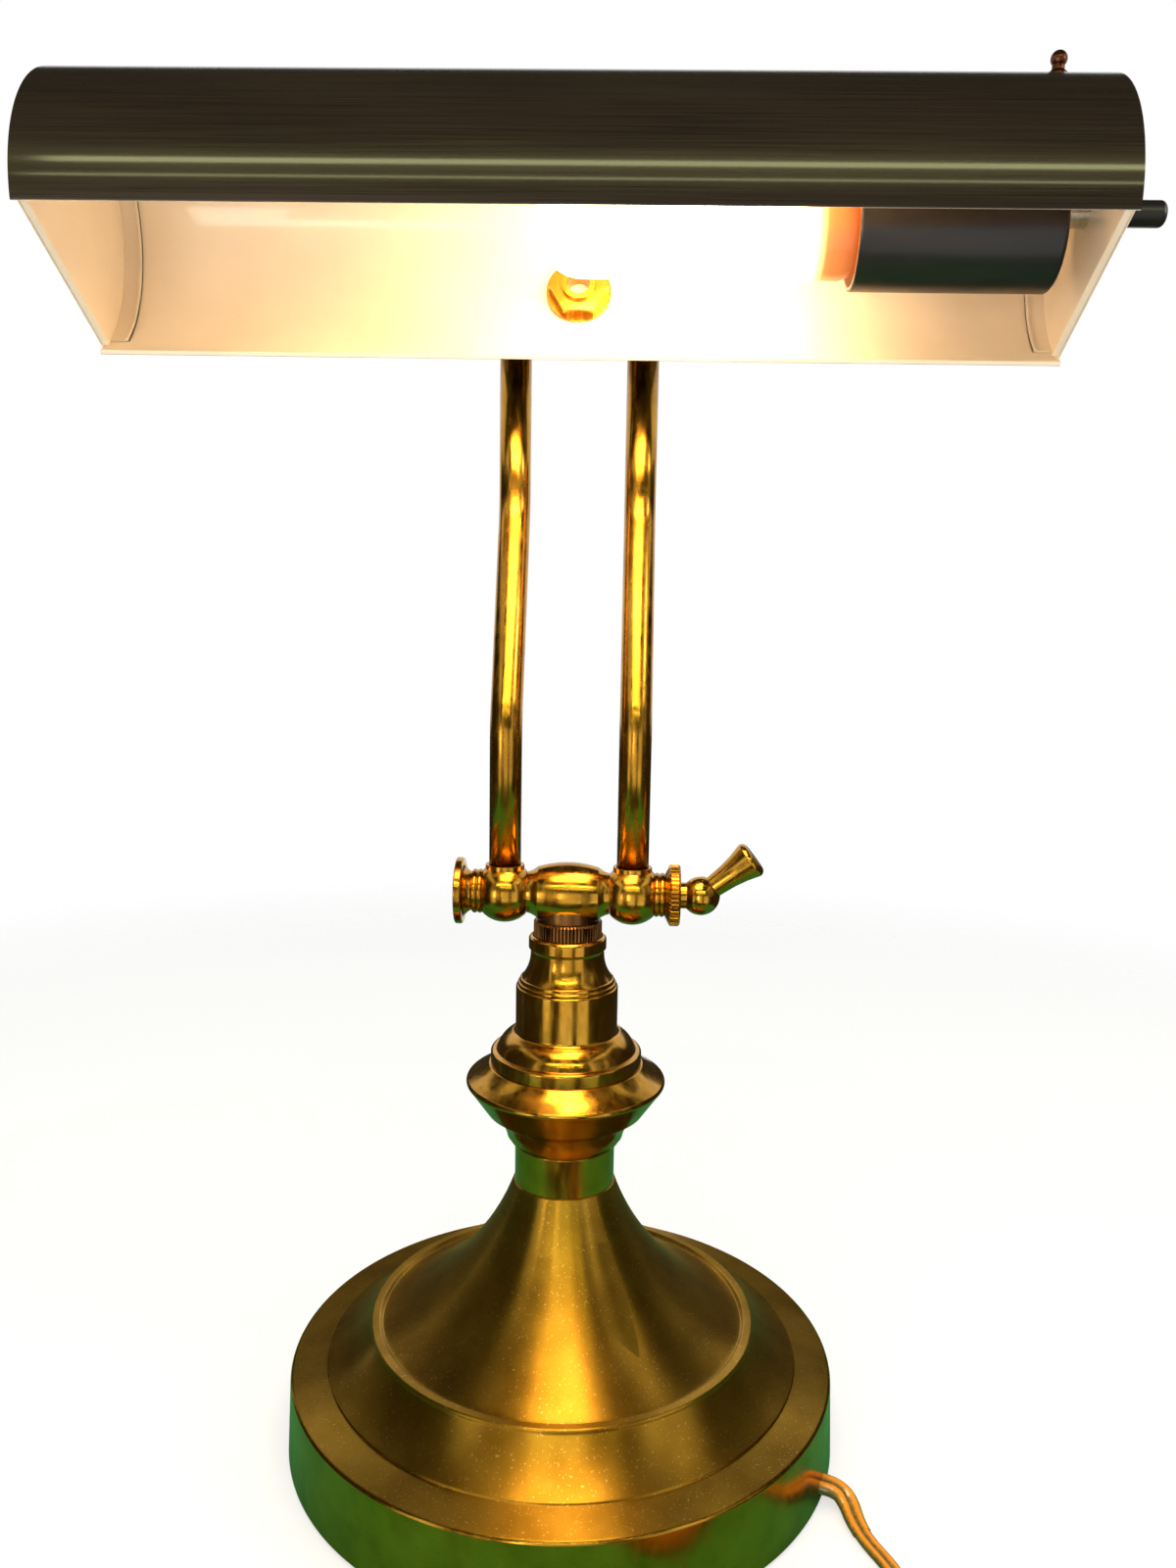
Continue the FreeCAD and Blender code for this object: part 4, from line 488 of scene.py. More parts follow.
def walk(bm, steps, arc_step):
    """Draw the steps as a closed line of edges in the XZ plane."""
    first = at = bmesh.ops.create_vert(bm, co=Vector((steps[0][0], 0, steps[0][1])) * MM)["vert"][0]
    for step in steps[1:]:
        goal = Vector((step[0], 0, step[1])) * MM
        if len(step) == 2:
            at = bmesh.ops.extrude_vert_indiv(bm, verts=[at])["verts"][0]
            at.co = goal
            continue
        radius, side = step[2] * MM, step[3]
        chord = goal - at.co
        left = Vector((-chord.z, 0, chord.x)).normalized()
        rise = math.sqrt(max(radius ** 2 - chord.length_squared / 4, 0))
        centre = (at.co + goal) / 2 - left * side * rise
        angle = 2 * math.asin(min(1.0, chord.length / (2 * radius)))
        count = max(2, math.ceil(math.degrees(angle) / arc_step))
        made = bmesh.ops.spin(bm, geom=[at], cent=centre, axis=(0, side, 0), angle=angle, steps=count)["geom_last"]
        at = only(bmesh.types.BMVert, made)[0]
        at.co = goal
    bm.edges.new((at, first))


def soften(bm, size):
    """Round the outline's sharp corners by size millimetres, less where its edges are short."""
    for vertex in list(bm.verts):
        if not vertex.is_valid or len(vertex.link_edges) != 2:
            continue
        one, two = (edge.other_vert(vertex).co - vertex.co for edge in vertex.link_edges)
        if 180 - math.degrees(one.angle(two)) < SHARP_CORNER:
            continue
        reach = min(size * MM, 0.3 * one.length, 0.3 * two.length)
        bmesh.ops.bevel(bm, geom=[vertex], offset=reach, offset_type="OFFSET", segments=2, profile=0.5,
                        affect="VERTICES", material=-1)


def lathe(steps, axis="Z", around=144, soft=0.25, arc_step=7.5):
    """A closed outline spun once about the Z or X axis, as a bmesh."""
    bm = bmesh.new()
    walk(bm, steps, arc_step)
    soften(bm, soft)
    bmesh.ops.spin(bm, geom=bm.verts[:] + bm.edges[:], cent=(0, 0, 0), axis=(0, 0, 1) if axis == "Z" else (1, 0, 0),
                   angle=2 * math.pi, steps=around, use_merge=True)
    bmesh.ops.remove_doubles(bm, verts=bm.verts, dist=SAME_PLACE)
    bmesh.ops.recalc_face_normals(bm, faces=bm.faces)
    return bm

# %% [markdown]
# ## Placing a piece
# A piece is moved into its place in its mesh, never by its object, so its object stays at the
# origin like the solids' own.  Plain smooth shading would bend the light on flats beside the tiny
# rounds, and weighted normals keep them flat.

# %% Placing and keeping a piece
SHARP_EDGE = 40        # degrees between two faces that meet in a visible edge


def moved(bm, x=0.0, y=0.0, z=0.0, yaw=0.0, pitch=0.0, roll=0.0):
    """Turn about X, then Y, then Z, and shift by millimetres."""
    turn = Matrix.Rotation(math.radians(yaw), 4, "Z") @ Matrix.Rotation(math.radians(pitch), 4, "Y")
    turn = turn @ Matrix.Rotation(math.radians(roll), 4, "X")
    bmesh.ops.transform(bm, matrix=Matrix.Translation(Vector((x, y, z)) * MM) @ turn, verts=bm.verts)
    return bm


def together(*shapes):
    """Several bmeshes as one."""
    whole = bmesh.new()
    for shape in shapes:
        loose = bpy.data.meshes.new("loose")
        shape.to_mesh(loose)
        whole.from_mesh(loose)
        shape.free()
        bpy.data.meshes.remove(loose)
    return whole


def paint(bm, chosen):
    """Give the piece's second finish to the faces chosen by their centre and normal."""
    for face in bm.faces:
        face.material_index = 1 if chosen(face.calc_center_median(), face.normal) else 0
    return bm


def as_object(name, bm, finishes):
    """The bmesh as a new object with these finishes."""
    mesh = bpy.data.meshes.new(name)
    bm.to_mesh(mesh)
    bm.free()
    for material in finishes:
        mesh.materials.append(material)
    return show(name, mesh)


def keep(name, bm, body, node, finishes=(polished_brass,)):
    """Turn the bmesh into a shown piece that stands for its solid."""
    item = as_object(name, bm, finishes)
    mesh = item.data
    mesh.shade_smooth()
    mesh.set_sharp_from_angle(angle=math.radians(SHARP_EDGE))
    even = item.modifiers.new("even", "WEIGHTED_NORMAL")
    even.keep_sharp = True
    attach(item, body)
    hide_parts(node)
    print(f"{name}: {len(mesh.polygons)} faces")
    return item

# %% [markdown]
# ## The foot
# The foot is one disc of brass, spun over a wooden former: a straight side wall, a flat ledge, a
# cove up to a bead ring with a groove inside it, and the long hollow sweep of the dome.  It is thin
# sheet, so its outline runs up the outside and back down the inside, with no modifier for the wall.

# %% Foot
WALL_TOP = 33.3        # the side wall below this height is polished, and all above it is brushed
foot_steps = [
    (113.3, 1.5), (112.0, 31.9), (110.4, 33.5, 1.6, -1), (97.0, 35.5), (97.0, 36.4),
    (79.6, 50.1, 46.0, 1), (79.6, 51.0), (78.7, 51.9, 0.9, -1), (75.9, 51.9), (74.6, 50.6),
    (72.8, 51.25), (20.9, 110.2, 106.0, 1), (STEM_BORE, 110.2), (STEM_BORE, 109.0), (19.7, 109.0),
    (71.6, 50.05, 106.0, -1), (72.8, 49.4), (78.4, 49.4), (78.4, 48.9), (95.8, 35.2, 46.0, -1),
    (95.8, 34.3), (109.2, 32.3), (110.8, 30.7, 1.6, 1), (112.1, 1.5),
]
foot = lathe(foot_steps, around=240, soft=0.35, arc_step=2.5)
paint(foot, lambda centre, normal: centre.z < WALL_TOP * MM)
keep("foot_shell", foot, "base", "base_shell", [brushed_brass, polished_brass])

# %% [markdown]
# ## The stem
# The stem is a stack of turned pieces on one hollow rod: a plain polished neck, a cup that opens
# into a wide disc, a cylinder on an ogee skirt and a vase-shaped cap.  One outline for them all
# would lose the fine dark lines where they meet, so each has its own.

# %% Neck, cup, body and cap
neck_steps = [(STEM_BORE, 0), (20.4, 0), (20.4, 16.3), (19.0, 16.3), (19.0, 1.4), (STEM_BORE, 1.4)]
cup_steps = [
    (STEM_BORE, 0), (20.4, 0), (23.0, 3.4, 3.9, -1), (23.7, 3.4), (31.5, 14.5, 16.0, 1), (32.2, 14.5),
    (39.75, 25.3), (39.75, 27.9, 1.56, -1), (31.3, 34.1, 30.0, 1), (27.5, 34.1), (27.5, 32.1),
    (35.1, 25.3), (18.4, 3.4), (18.4, 2.0), (STEM_BORE, 2.0),
]
body_steps = [
    (27.6, 0), (30.6, 0), (30.6, 4.4), (29.4, 5.6, 1.2, -1), (28.2, 5.6), (22.0, 13.0, 11.0, -1),
    (20.6, 14.4, 1.4, 1), (20.6, 31.7), (19.6, 32.7, 1.0, -1), (17.6, 32.7), (17.6, 15.5),
    (STEM_BORE, 15.5), (STEM_BORE, 12.0), (17.6, 12.0), (27.6, 3.0),
]
cap_steps = [
    (19.9, 0), (19.9, 0.7), (19.2, 1.4, 0.7, -1), (19.025, 1.68), (19.025, 2.38), (18.325, 3.08, 0.7, -1),
    (14.8, 14.0, 16.5, 1), (15.6, 15.4, 2.1, 1), (15.6, 19.0), (14.8, 20.2, 1.6, -1), (14.1, 20.6),
    (14.1, 16.3), (6.0, 16.3), (6.0, -4.0), (17.5, -4.0), (17.5, 0),
]
for name, steps, foot_height, node in (
        ("neck", neck_steps, NECK_FOOT, "neck_sleeve"), ("cup", cup_steps, CUP_FOOT, "stem_cup"),
        ("stem", body_steps, BODY_FOOT, "stem_body"), ("cap", cap_steps, CAP_FOOT, "stem_cap")):
    keep(name, moved(lathe(steps), z=foot_height), "base", node)

# %% [markdown]
# ## Serrations
# The ring under the swivel and the round nut beside it are gripped by hand, so their rims are cut
# with many small V grooves.  Cutting them one by one with booleans would be slow, so the rim is
# spun with four columns to a tooth, and one column in four is pushed in.

# %% Serrated ring
COLUMNS = 4            # of vertices to a tooth
TOOTH = 0.7            # depth of a groove, in millimetres
RING_RADIUS, RING_TEETH = 13.7, 60


def serrate(bm, axis, radius, count, start, end):
    """Push one column in four of the rim inwards between two heights."""
    along, first, second = (0, 1, 2) if axis == "X" else (2, 0, 1)
    for vertex in bm.verts:
        height, a, b = vertex.co[along], vertex.co[first], vertex.co[second]
        reach = math.hypot(a, b)
        column = round(math.atan2(b, a) / (2 * math.pi) * count * COLUMNS)
        if column % COLUMNS or reach < (radius - TOOTH / 2) * MM or not start * MM <= height <= end * MM:
            continue
        shrink = (reach - TOOTH * MM) / reach
        vertex.co[first], vertex.co[second] = a * shrink, b * shrink
    return bm


ring_steps = [(6.0, 0), (RING_RADIUS, 0), (RING_RADIUS, 2.6), (RING_RADIUS, 7.4), (13.0, 8.2), (6.0, 8.2)]
ring = lathe(ring_steps, around=RING_TEETH * COLUMNS, soft=0.12)
serrate(ring, "Z", RING_RADIUS, RING_TEETH, start=2.5, end=7.6)
keep("ring", moved(ring, z=RING_FOOT), "swivel", "lock_ring", [brown_brass_and_painted_shade])

# %% [markdown]
# ## The crossbar
# The swivel carries a swelling barrel between two balls.  A bolt runs through all of them, with a
# flanged cap at the left and a serrated nut and a thumb lever at the right.  The balls have a
# short collar up for their rod.  A boolean would join them, but the joint never shows, so each is
# two turned shapes in one mesh.

# %% Barrel and balls
BOSS_RADIUS = 11.6


def barrel_shape(boss_radius, boss_drop):
    """The barrel along X with a round boss below it."""
    body = lathe([(-16.6, BAR_BORE), (-16.6, 8.2), (-12.0, 10.5, 9.0, -1), (12.0, 10.5, 40.9, 1),
                  (16.6, 8.2, 9.0, -1), (16.6, BAR_BORE)], "X", arc_step=4)
    boss = lathe([(0.5, -boss_drop), (boss_radius, -boss_drop), (boss_radius, -6.0), (0.5, -6.0)])
    return together(body, boss)


def knuckle_shape():
    """A ball along X with a collar above it for the rod."""
    ball = lathe([(-8.7, BAR_BORE), (-8.7, 8.553), (8.7, 8.553, 12.2, 1), (8.7, BAR_BORE)], "X", arc_step=4)
    collar = lathe([(6.4, 5.3), (7.75, 5.3), (7.75, 11.3), (6.4, 11.3)])
    return together(ball, collar)


def on_boss(centre, normal):
    """Whether a face is the boss's side."""
    return abs(math.hypot(centre.x, centre.y) - BOSS_RADIUS * MM) < 0.2 * MM and abs(normal.z) < 0.3


# The boss's side gets the dark brown brass: painted shade in the gap under the barrel.
barrel = paint(barrel_shape(BOSS_RADIUS, 13.0), on_boss)
keep("barrel", moved(barrel, z=PIVOT), "swivel", "swivel_barrel", [polished_brass, brown_brass_and_painted_shade])
keep("upper_barrel", moved(barrel_shape(9.5, 12.8), y=UPPER_Y, z=UPPER_PIVOT, roll=STUD_ROLL - 180), "shade",
     "shade_barrel")
for side, sign, _ in SIDES:
    keep(f"ball_{side}", moved(knuckle_shape(), x=sign * ROD_X, z=PIVOT), "arm", f"knuckle_{side}")
    keep(f"upper_ball_{side}", moved(knuckle_shape(), x=sign * ROD_X, y=UPPER_Y, z=UPPER_PIVOT, roll=180), "arm",
         f"upper_knuckle_{side}")

# %% [markdown]
# ## Beads, caps and nuts
# Outside the balls sit two fine beads, then a flanged cap at the left and the serrated nut at the
# right, and domed nuts close the upper bolt.  All are turned about X from an outline that starts at
# the ball's face, so the left ones are the right ones turned half round.

# %% Collars, end cap, nut and domed nuts
COLLAR_X, CAP_X, NUT_X = 34.1, 38.3, 38.4
NUT_RADIUS, NUT_TEETH = 12.3, 44
collar_steps = [(0, BAR_BORE), (0, 8.2), (2.1, 8.2, 1.2, 1), (4.2, 8.2, 1.2, 1), (4.2, BAR_BORE)]
flange_steps = [(0, BAR_BORE), (0, 7.6), (3.5, 12.7, 5.0, -1), (4.0, 13.2), (6.0, 13.2), (6.5, 12.7, 0.5, 1),
                (6.5, 0), (3.45, 0), (3.45, BAR_BORE)]
nut_steps = [(0, BAR_BORE), (0, 8.6), (1.6, 11.6), (2.3, NUT_RADIUS), (5.3, NUT_RADIUS), (6.0, 11.6),
             (6.0, BAR_BORE)]
dome_steps = [(0, BAR_BORE), (0, 8.4), (4.0, 8.4), (9.0, 0, 10.5, 1), (3.45, 0), (3.45, BAR_BORE)]
for side, sign, yaw in SIDES:
    keep(f"beads_{side}", moved(lathe(collar_steps, "X", soft=0.05), x=sign * COLLAR_X, yaw=yaw, z=PIVOT), "arm",
         f"collar_{side}")
    keep(f"domed_nut_{side}", moved(lathe(dome_steps, "X"), x=sign * COLLAR_X, yaw=yaw, y=UPPER_Y, z=UPPER_PIVOT),
         "arm", f"upper_cap_{side}")
keep("end_cap", moved(lathe(flange_steps, "X", soft=0.12), x=-CAP_X, yaw=180, z=PIVOT), "arm", "end_flange")
nut = serrate(lathe(nut_steps, "X", around=NUT_TEETH * COLUMNS, soft=0.12), "X", NUT_RADIUS, NUT_TEETH, 1.6, 6.0)
keep("round_nut", moved(nut, x=NUT_X, z=PIVOT), "clamp_nut", "clamp_nut", [rod_brass])

# %% [markdown]
# ## The thumb lever
# The lever is a small ball on the bolt with a cone that widens to a rounded end, and it leans up
# and out.  A plain cone would look cut from sheet, so its side is an arc, slightly hollow like a
# bell.

# %% Ball and lever
LEVER_X, LEVER_LEAN = 52.7, 52.0
hub_steps = [(-8.2, BAR_BORE), (-8.2, 5.2), (-5.679, 5.2), (7.7, 0, 7.7, 1), (3.05, 0), (3.05, BAR_BORE)]
cone_steps = [(0, 5.4), (4.3, 5.4), (4.5, 7.7), (7.5, 24.1, 60.0, 1), (5.1, 26.5, 2.4, -1), (0, 26.5)]
keep("lever_ball", moved(lathe(hub_steps, "X", arc_step=5), x=LEVER_X, z=PIVOT), "clamp_lever", "lever_hub")
keep("thumb_lever", moved(lathe(cone_steps, around=96), x=LEVER_X, z=PIVOT, pitch=LEVER_LEAN), "clamp_lever",
     "clamp_lever")

# %% [markdown]
# ## The two bent rods
# Each rod is a half inch tube that rises, leans back between two bends and rises again.  A bevelled
# curve would flatten in the bends, so a ring of vertices is extruded along the straight runs and
# spun through the bends, as a tube bender does.  Solidify gives the tube its wall.

# %% Rods
ROD_RADIUS, ROD_WALL, ROD_FOOT, ROD_TOP = 6.35, 1.2, 5.3, 221.8
LOW_BEND, HIGH_BEND = 68.0, 152.0      # heights over the pivot where the straight runs would meet
LEAN = math.atan(UPPER_Y / (HIGH_BEND - LOW_BEND))
BEND = 42.0
RUN = BEND * math.tan(LEAN / 2)


def bent_rod():
    """Centre line in the YZ plane: up, bend back, lean, bend upright, up."""
    bm = bmesh.new()
    bmesh.ops.create_circle(bm, radius=ROD_RADIUS * MM, segments=48)
    bmesh.ops.translate(bm, vec=(0, 0, ROD_FOOT * MM), verts=bm.verts)
    ring = bm.edges[:]

    def straight(ring, shift):
        made = bmesh.ops.extrude_edge_only(bm, edges=ring)["geom"]
        bmesh.ops.translate(bm, vec=Vector(shift) * MM, verts=only(bmesh.types.BMVert, made))
        return only(bmesh.types.BMEdge, made)

    def bend(ring, centre, angle):
        made = bmesh.ops.spin(bm, geom=ring, cent=Vector(centre) * MM, axis=(1, 0, 0), angle=angle,
                              steps=16)["geom_last"]
        return only(bmesh.types.BMEdge, made)

    low, high = LOW_BEND - RUN, HIGH_BEND + RUN
    ring = straight(ring, (0, 0, low - ROD_FOOT))
    ring = bend(ring, (0, BEND, low), -LEAN)
    lean_length = math.hypot(UPPER_Y, HIGH_BEND - LOW_BEND) - 2 * RUN
    ring = straight(ring, (0, lean_length * math.sin(LEAN), lean_length * math.cos(LEAN)))
    ring = bend(ring, (0, UPPER_Y - BEND, high), LEAN)
    straight(ring, (0, 0, ROD_TOP - high))
    bmesh.ops.remove_doubles(bm, verts=bm.verts, dist=2 * SAME_PLACE)
    bmesh.ops.recalc_face_normals(bm, faces=bm.faces)
    return bm


for side, sign, _ in SIDES:
    rod = keep(f"arm_tube_{side}", moved(bent_rod(), x=sign * ROD_X, z=PIVOT), "arm", f"rod_{side}", [rod_brass])
    wall = rod.modifiers.new("wall", "SOLIDIFY")
    wall.thickness, wall.offset = ROD_WALL * MM, -1.0

# %% [markdown]
# ## The shade
# The shade is a tube with a wide opening, and its two lips are folded back inside.  A cylinder with
# faces taken out would have no folded lips, so the section is walked once round, outside and back
# inside, made a face and drawn out to the full length.  It is drawn with the opening straight down
# and turned forward at the end.

# %% Shade tube
def on_tube(radius, angle):
    """A point of the section, its angle counted from straight down."""
    return (radius * math.sin(math.radians(angle)), -radius * math.cos(math.radians(angle)))


def arc(radius, angle, way):
    """Steps over the top of the section from one lip to the other, with way 1 there and -1 back."""
    return [on_tube(radius, way * angle), (0, radius, radius, -way), on_tube(radius, -way * angle) + (radius, -way)]


def drawn_out(steps, start, end):
    """The section in the YZ plane as a solid from start to end along X."""
    bm = bmesh.new()
    walk(bm, steps, arc_step=3.0)
    soften(bm, 0.2)
    face = bmesh.ops.contextual_create(bm, geom=bm.edges[:])["faces"]
    bmesh.ops.rotate(bm, verts=bm.verts, cent=(0, 0, 0), matrix=Matrix.Rotation(math.radians(90), 3, "Z"))
    bmesh.ops.translate(bm, verts=bm.verts, vec=(start * MM, 0, 0))
    made = bmesh.ops.extrude_face_region(bm, geom=face)["geom"]
    bmesh.ops.translate(bm, vec=((end - start) * MM, 0, 0), verts=only(bmesh.types.BMVert, made))
    bmesh.ops.recalc_face_normals(bm, faces=bm.faces)
    return bm


HALF_SHADE = 177.8
R, R_IN, R_HEM = 47.2, 46.4, 45.6      # outside, inside, and inside the folded lips
LIP, LIP_END = 54, 58.2                # degrees from the middle of the opening
section_steps = arc(R, LIP, 1) + [on_tube(R_HEM, -LIP), on_tube(R_HEM, -LIP_END) + (R_HEM, 1)]
section_steps += arc(R_IN, LIP_END, -1) + [on_tube(R_HEM, LIP_END), on_tube(R_HEM, LIP) + (R_HEM, 1)]
shade = drawn_out(section_steps, -HALF_SHADE, HALF_SHADE)
paint(shade, lambda centre, normal: normal.yz @ centre.yz < 0 and abs(normal.x) < 0.5)
keep("shade_tube", moved(shade, roll=-SHADE_TILT, **SHADE_AXIS), "shade", "shade_shell",
     [bronze, enamel])

# %% [markdown]
# ## The shade's ends
# Each end is a D-shaped plate pressed with a flange round its arc, which slides into the tube, and
# a small lip along its open edge.  The flange and its bead show inside as curved lines.  A press
# would draw them from one sheet, but here each is a section of its own, drawn out and overlapped.

# %% Ends
END_X = 170.0          # where an end's own frame begins
END_RIM, END_INNER, BEAD = 46.35, 45.55, 0.6
PLATE_EDGE, FLANGE_EDGE = 58.25, 66.2  # degrees from the middle of the opening
PLATE_IN, PLATE_OUT, FLANGE_OUT = 7.0, 7.8, 7.4


def end_shape():
    """Plate, flange, bead and lip of one end, along X."""
    plate = drawn_out(arc(END_RIM, PLATE_EDGE, 1), PLATE_IN, PLATE_OUT)
    rim = arc(END_RIM, FLANGE_EDGE, 1)
    flange = drawn_out(rim + arc(END_INNER, FLANGE_EDGE, -1), 0.0, FLANGE_OUT)
    bead = drawn_out(rim + arc(END_INNER - BEAD, FLANGE_EDGE, -1), 0.0, 1.1)
    low = -END_RIM * math.cos(math.radians(PLATE_EDGE))
    across = END_RIM * math.sin(math.radians(PLATE_EDGE)) - 2.4
    lip = drawn_out([(-across, low), (across, low), (across, low + 0.8), (-across, low + 0.8)], 4.6, FLANGE_OUT)
    return together(plate, flange, bead, lip)


for side, sign, yaw in SIDES:
    end = paint(end_shape(), lambda centre, normal: normal.x <= 0.5 or centre.x <= 7.6 * MM)
    keep(f"end_plate_{side}", moved(end, x=sign * END_X, yaw=yaw, roll=-sign * SHADE_TILT, **SHADE_AXIS),
         "shade", f"shade_end_{side}", [bronze, enamel])

# %% [markdown]
# ## Socket and bulb
# The socket hides in a black sleeve with a rounded mouth, and the tubular bulb comes out of it.
# Both are turned about X.  The sleeve's inside has a pale fibre lining, which needs no piece of its
# own, because a face can carry another finish.

# %% Sleeve and glass
sleeve_steps = [(96.0, 17.8), (96.0, 18.6), (96.8, 19.4, 0.8, 1), (163.4, 19.4), (165.0, 17.8, 1.6, 1),
                (165.0, 0), (163.4, 0), (163.4, 17.8)]
glass_steps = [(-13.0, 0), (2.9, 15.9, 15.9, 1), (92.0, 15.9), (104.0, 12.4), (104.0, 11.6), (92.0, 15.1),
               (2.9, 15.1), (-12.2, 0, 15.1, -1)]
sleeve = lathe(sleeve_steps, "X")
paint(sleeve, lambda centre, normal: centre.yz.length < 18.7 * MM and centre.x < 163.0 * MM)
keep("sleeve", moved(sleeve, **SOCKET_AXIS), "shade", "socket_sleeve", [phenolic, fibre_liner])
keep("bulb", moved(lathe(glass_steps, "X", arc_step=5), **SOCKET_AXIS), "shade", "bulb_glass", [glow])

# %% [markdown]
# ## Screw and knob
# A screw with a ball tip stands on the shade's crown and holds the socket's bracket, and the black
# knob at the right end turns the switch.  They are small, so fewer columns are enough.

# %% Ball-tipped screw and knob
SCREW_X, SCREW_LEAN = 162.0, 33.0
screw_steps = [(0, 41.4), (2.0, 41.4), (2.0, 47.2), (3.4, 47.2), (3.4, 48.4), (2.1, 49.6), (2.1, 50.95),
               (0, 55.6, 2.8, -1)]
knob_steps = [(185.3, 2.55), (185.3, 4.5), (202.1, 4.5), (204.3, 2.3, 2.2, 1), (204.3, 0), (197.35, 0),
              (197.35, 2.55)]
screw = moved(lathe(screw_steps, around=48, soft=0.15), x=SCREW_X, roll=SCREW_LEAN - SHADE_TILT, **SHADE_AXIS)
# The screw's dark brown finish is painted shade on brass.
keep("screw", screw, "shade", "bracket_screw", [dark_painted_shade_metal])
keep("knob", moved(lathe(knob_steps, "X", around=64), **SWITCH_AXIS), "switch", "switch_knob", [phenolic])

# %% [markdown]
# ## Strain relief
# Where the lead leaves the foot, a soft sleeve tapers along it so that it can't kink at the hole.
# It follows the lead's own path, and a curve's points have a radius each, which gives the taper.

# %% Relief
RELIEF_IN, RELIEF_OUT = 6, 24          # how far it reaches into the foot and along the lead
RELIEF_FAT, RELIEF_TAPER = 1.45, 0.35  # its width in leads, and how much of that it loses
near = [point for point in path if (point - exit_point * MM).length < RELIEF_OUT * MM]
root = exit_point * MM - out * RELIEF_IN * MM
relief_line = smooth_line("relief_line", [point / MM for point in [root] + near])
for index, point in enumerate(relief_line.data.splines[0].points):
    point.radius = RELIEF_FAT - RELIEF_TAPER * index / len(near)
relief = tube_along("lead_relief", relief_line)
skin(relief.data)
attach(relief, "base")
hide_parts("cord_bushing")

# %% [markdown]
# ## Solids that stay as they are
# Nuts, washers and bolts are hardly seen, so their solids only get a finish.

# %% Finishes of the other solids
node_finish = {
    felt: ["felt_pad"],
    iron: ["base_weight"],
    plated: ["base_washer", "base_nut", "stem_rod", "stem_nut", "swivel_spigot", "pivot_bolt", "upper_bolt",
             "socket_shell", "socket_bracket", "bulb_base", "switch_bushing", "switch_nut", "switch_shaft"],
    brown_brass_and_painted_shade: ["spigot_collar"],
    polished_brass: ["shade_saddle", "shade_nipple", "plug_blade_left", "plug_blade_right"],
    rod_brass: ["shade_washer", "shade_nut"],
    phenolic: ["socket_core"],
    glow: ["bulb_mount"],
    moulded_pvc: ["plug_body"],
}
for material, nodes in node_finish.items():
    for node in nodes:
        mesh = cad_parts[node].data
        mesh.materials.clear()
        mesh.materials.append(material)
print("solids with a finish:", sum(len(nodes) for nodes in node_finish.values()))

# %% [markdown]
# ## Floor
# The lamp stands on white paper.  A plane that ends would show an edge, so the paper turns clear
# with distance, where the white surround takes over.  For the camera it is clearer everywhere, so
# that it looks white and still keeps the lamp's shadow.

# %% Floor
FADE_START, FADE_END = 0.35, 1.0       # metres from the lamp
SEEN_THROUGH = 0.62
paper, tree, where = start_finish("white paper")
far = add(tree, "VectorMath", {0: where}, operation="LENGTH").outputs["Value"]
far_fade = add(tree, "MapRange", {"Value": far, "From Min": FADE_START, "From Max": FADE_END})
seen = add(tree, "LightPath").outputs["Is Camera Ray"]
near_fade = add(tree, "MapRange", {"Value": seen, "To Max": SEEN_THROUGH})
fade = add(tree, "Math", {0: far_fade, 1: near_fade}, operation="MAXIMUM")
sheet = add(tree, "BsdfPrincipled", {"Base Color": colour("#fafafa"), "Roughness": 0.8})
blend = add(tree, "MixShader", {"Fac": fade, 1: sheet, 2: add(tree, "BsdfTransparent")})
add(tree, "OutputMaterial", {"Surface": blend})


def stage_piece(name, bm, material):
    """Keep the mesh as an object that isn't part of the lamp."""
    item = as_object(name, bm, [material])
    return item


bm = bmesh.new()
bmesh.ops.create_circle(bm, cap_ends=True, radius=2.0, segments=64)
stage_piece("table_top", bm, paper)

# %% [markdown]
# ## White surround
# The surround is white to the camera and to mirrors.  As a lamp it would be too strong at full
# white and wash the brass out, so rays that light the lamp see a weaker one.

# %% Surround
world = bpy.data.worlds.new("surround")
world.use_nodes = True
bpy.context.scene.world = world
tree = world.node_tree
tree.nodes.clear()
ray = add(tree, "LightPath").outputs
straight_ray = add(tree, "Math", {0: ray["Is Camera Ray"], 1: ray["Is Transmission Ray"]},
                   operation="MAXIMUM")
clear_ray = add(tree, "Math", {0: straight_ray, 1: ray["Is Glossy Ray"]}, operation="MAXIMUM")
strength = add(tree, "MapRange", {"Value": clear_ray, "To Min": 0.60})
sky = add(tree, "Background", {"Color": (1, 1, 1, 1), "Strength": strength})
add(tree, "OutputWorld", {"Surface": sky})
print("surround nodes:", len(tree.nodes))

# %% [markdown]
# ## Lamps
# Soft lamps stand where a studio has them: in front, above and at the right.  Two long strips give
# the shade its two lines of light, and a small warm one adds what the bulb throws on the foot.

# %% Lamps
def soft_lamp(name, place, aim, size, watts, tint, mirrored=True, seen=True):
    """A rectangular lamp; mirrored and seen say whether mirrors and the camera show it."""
    data = bpy.data.lights.new(name, "AREA")
    data.shape = "RECTANGLE"
    data.size, data.size_y = size
    data.energy = watts
    data.color = colour(tint)[:3]
    item = show(name, data)
    item.location = place
    item.rotation_euler = (Vector(aim) - Vector(place)).to_track_quat("-Z", "Y").to_euler()
    item.visible_glossy = mirrored
    item.visible_camera = seen


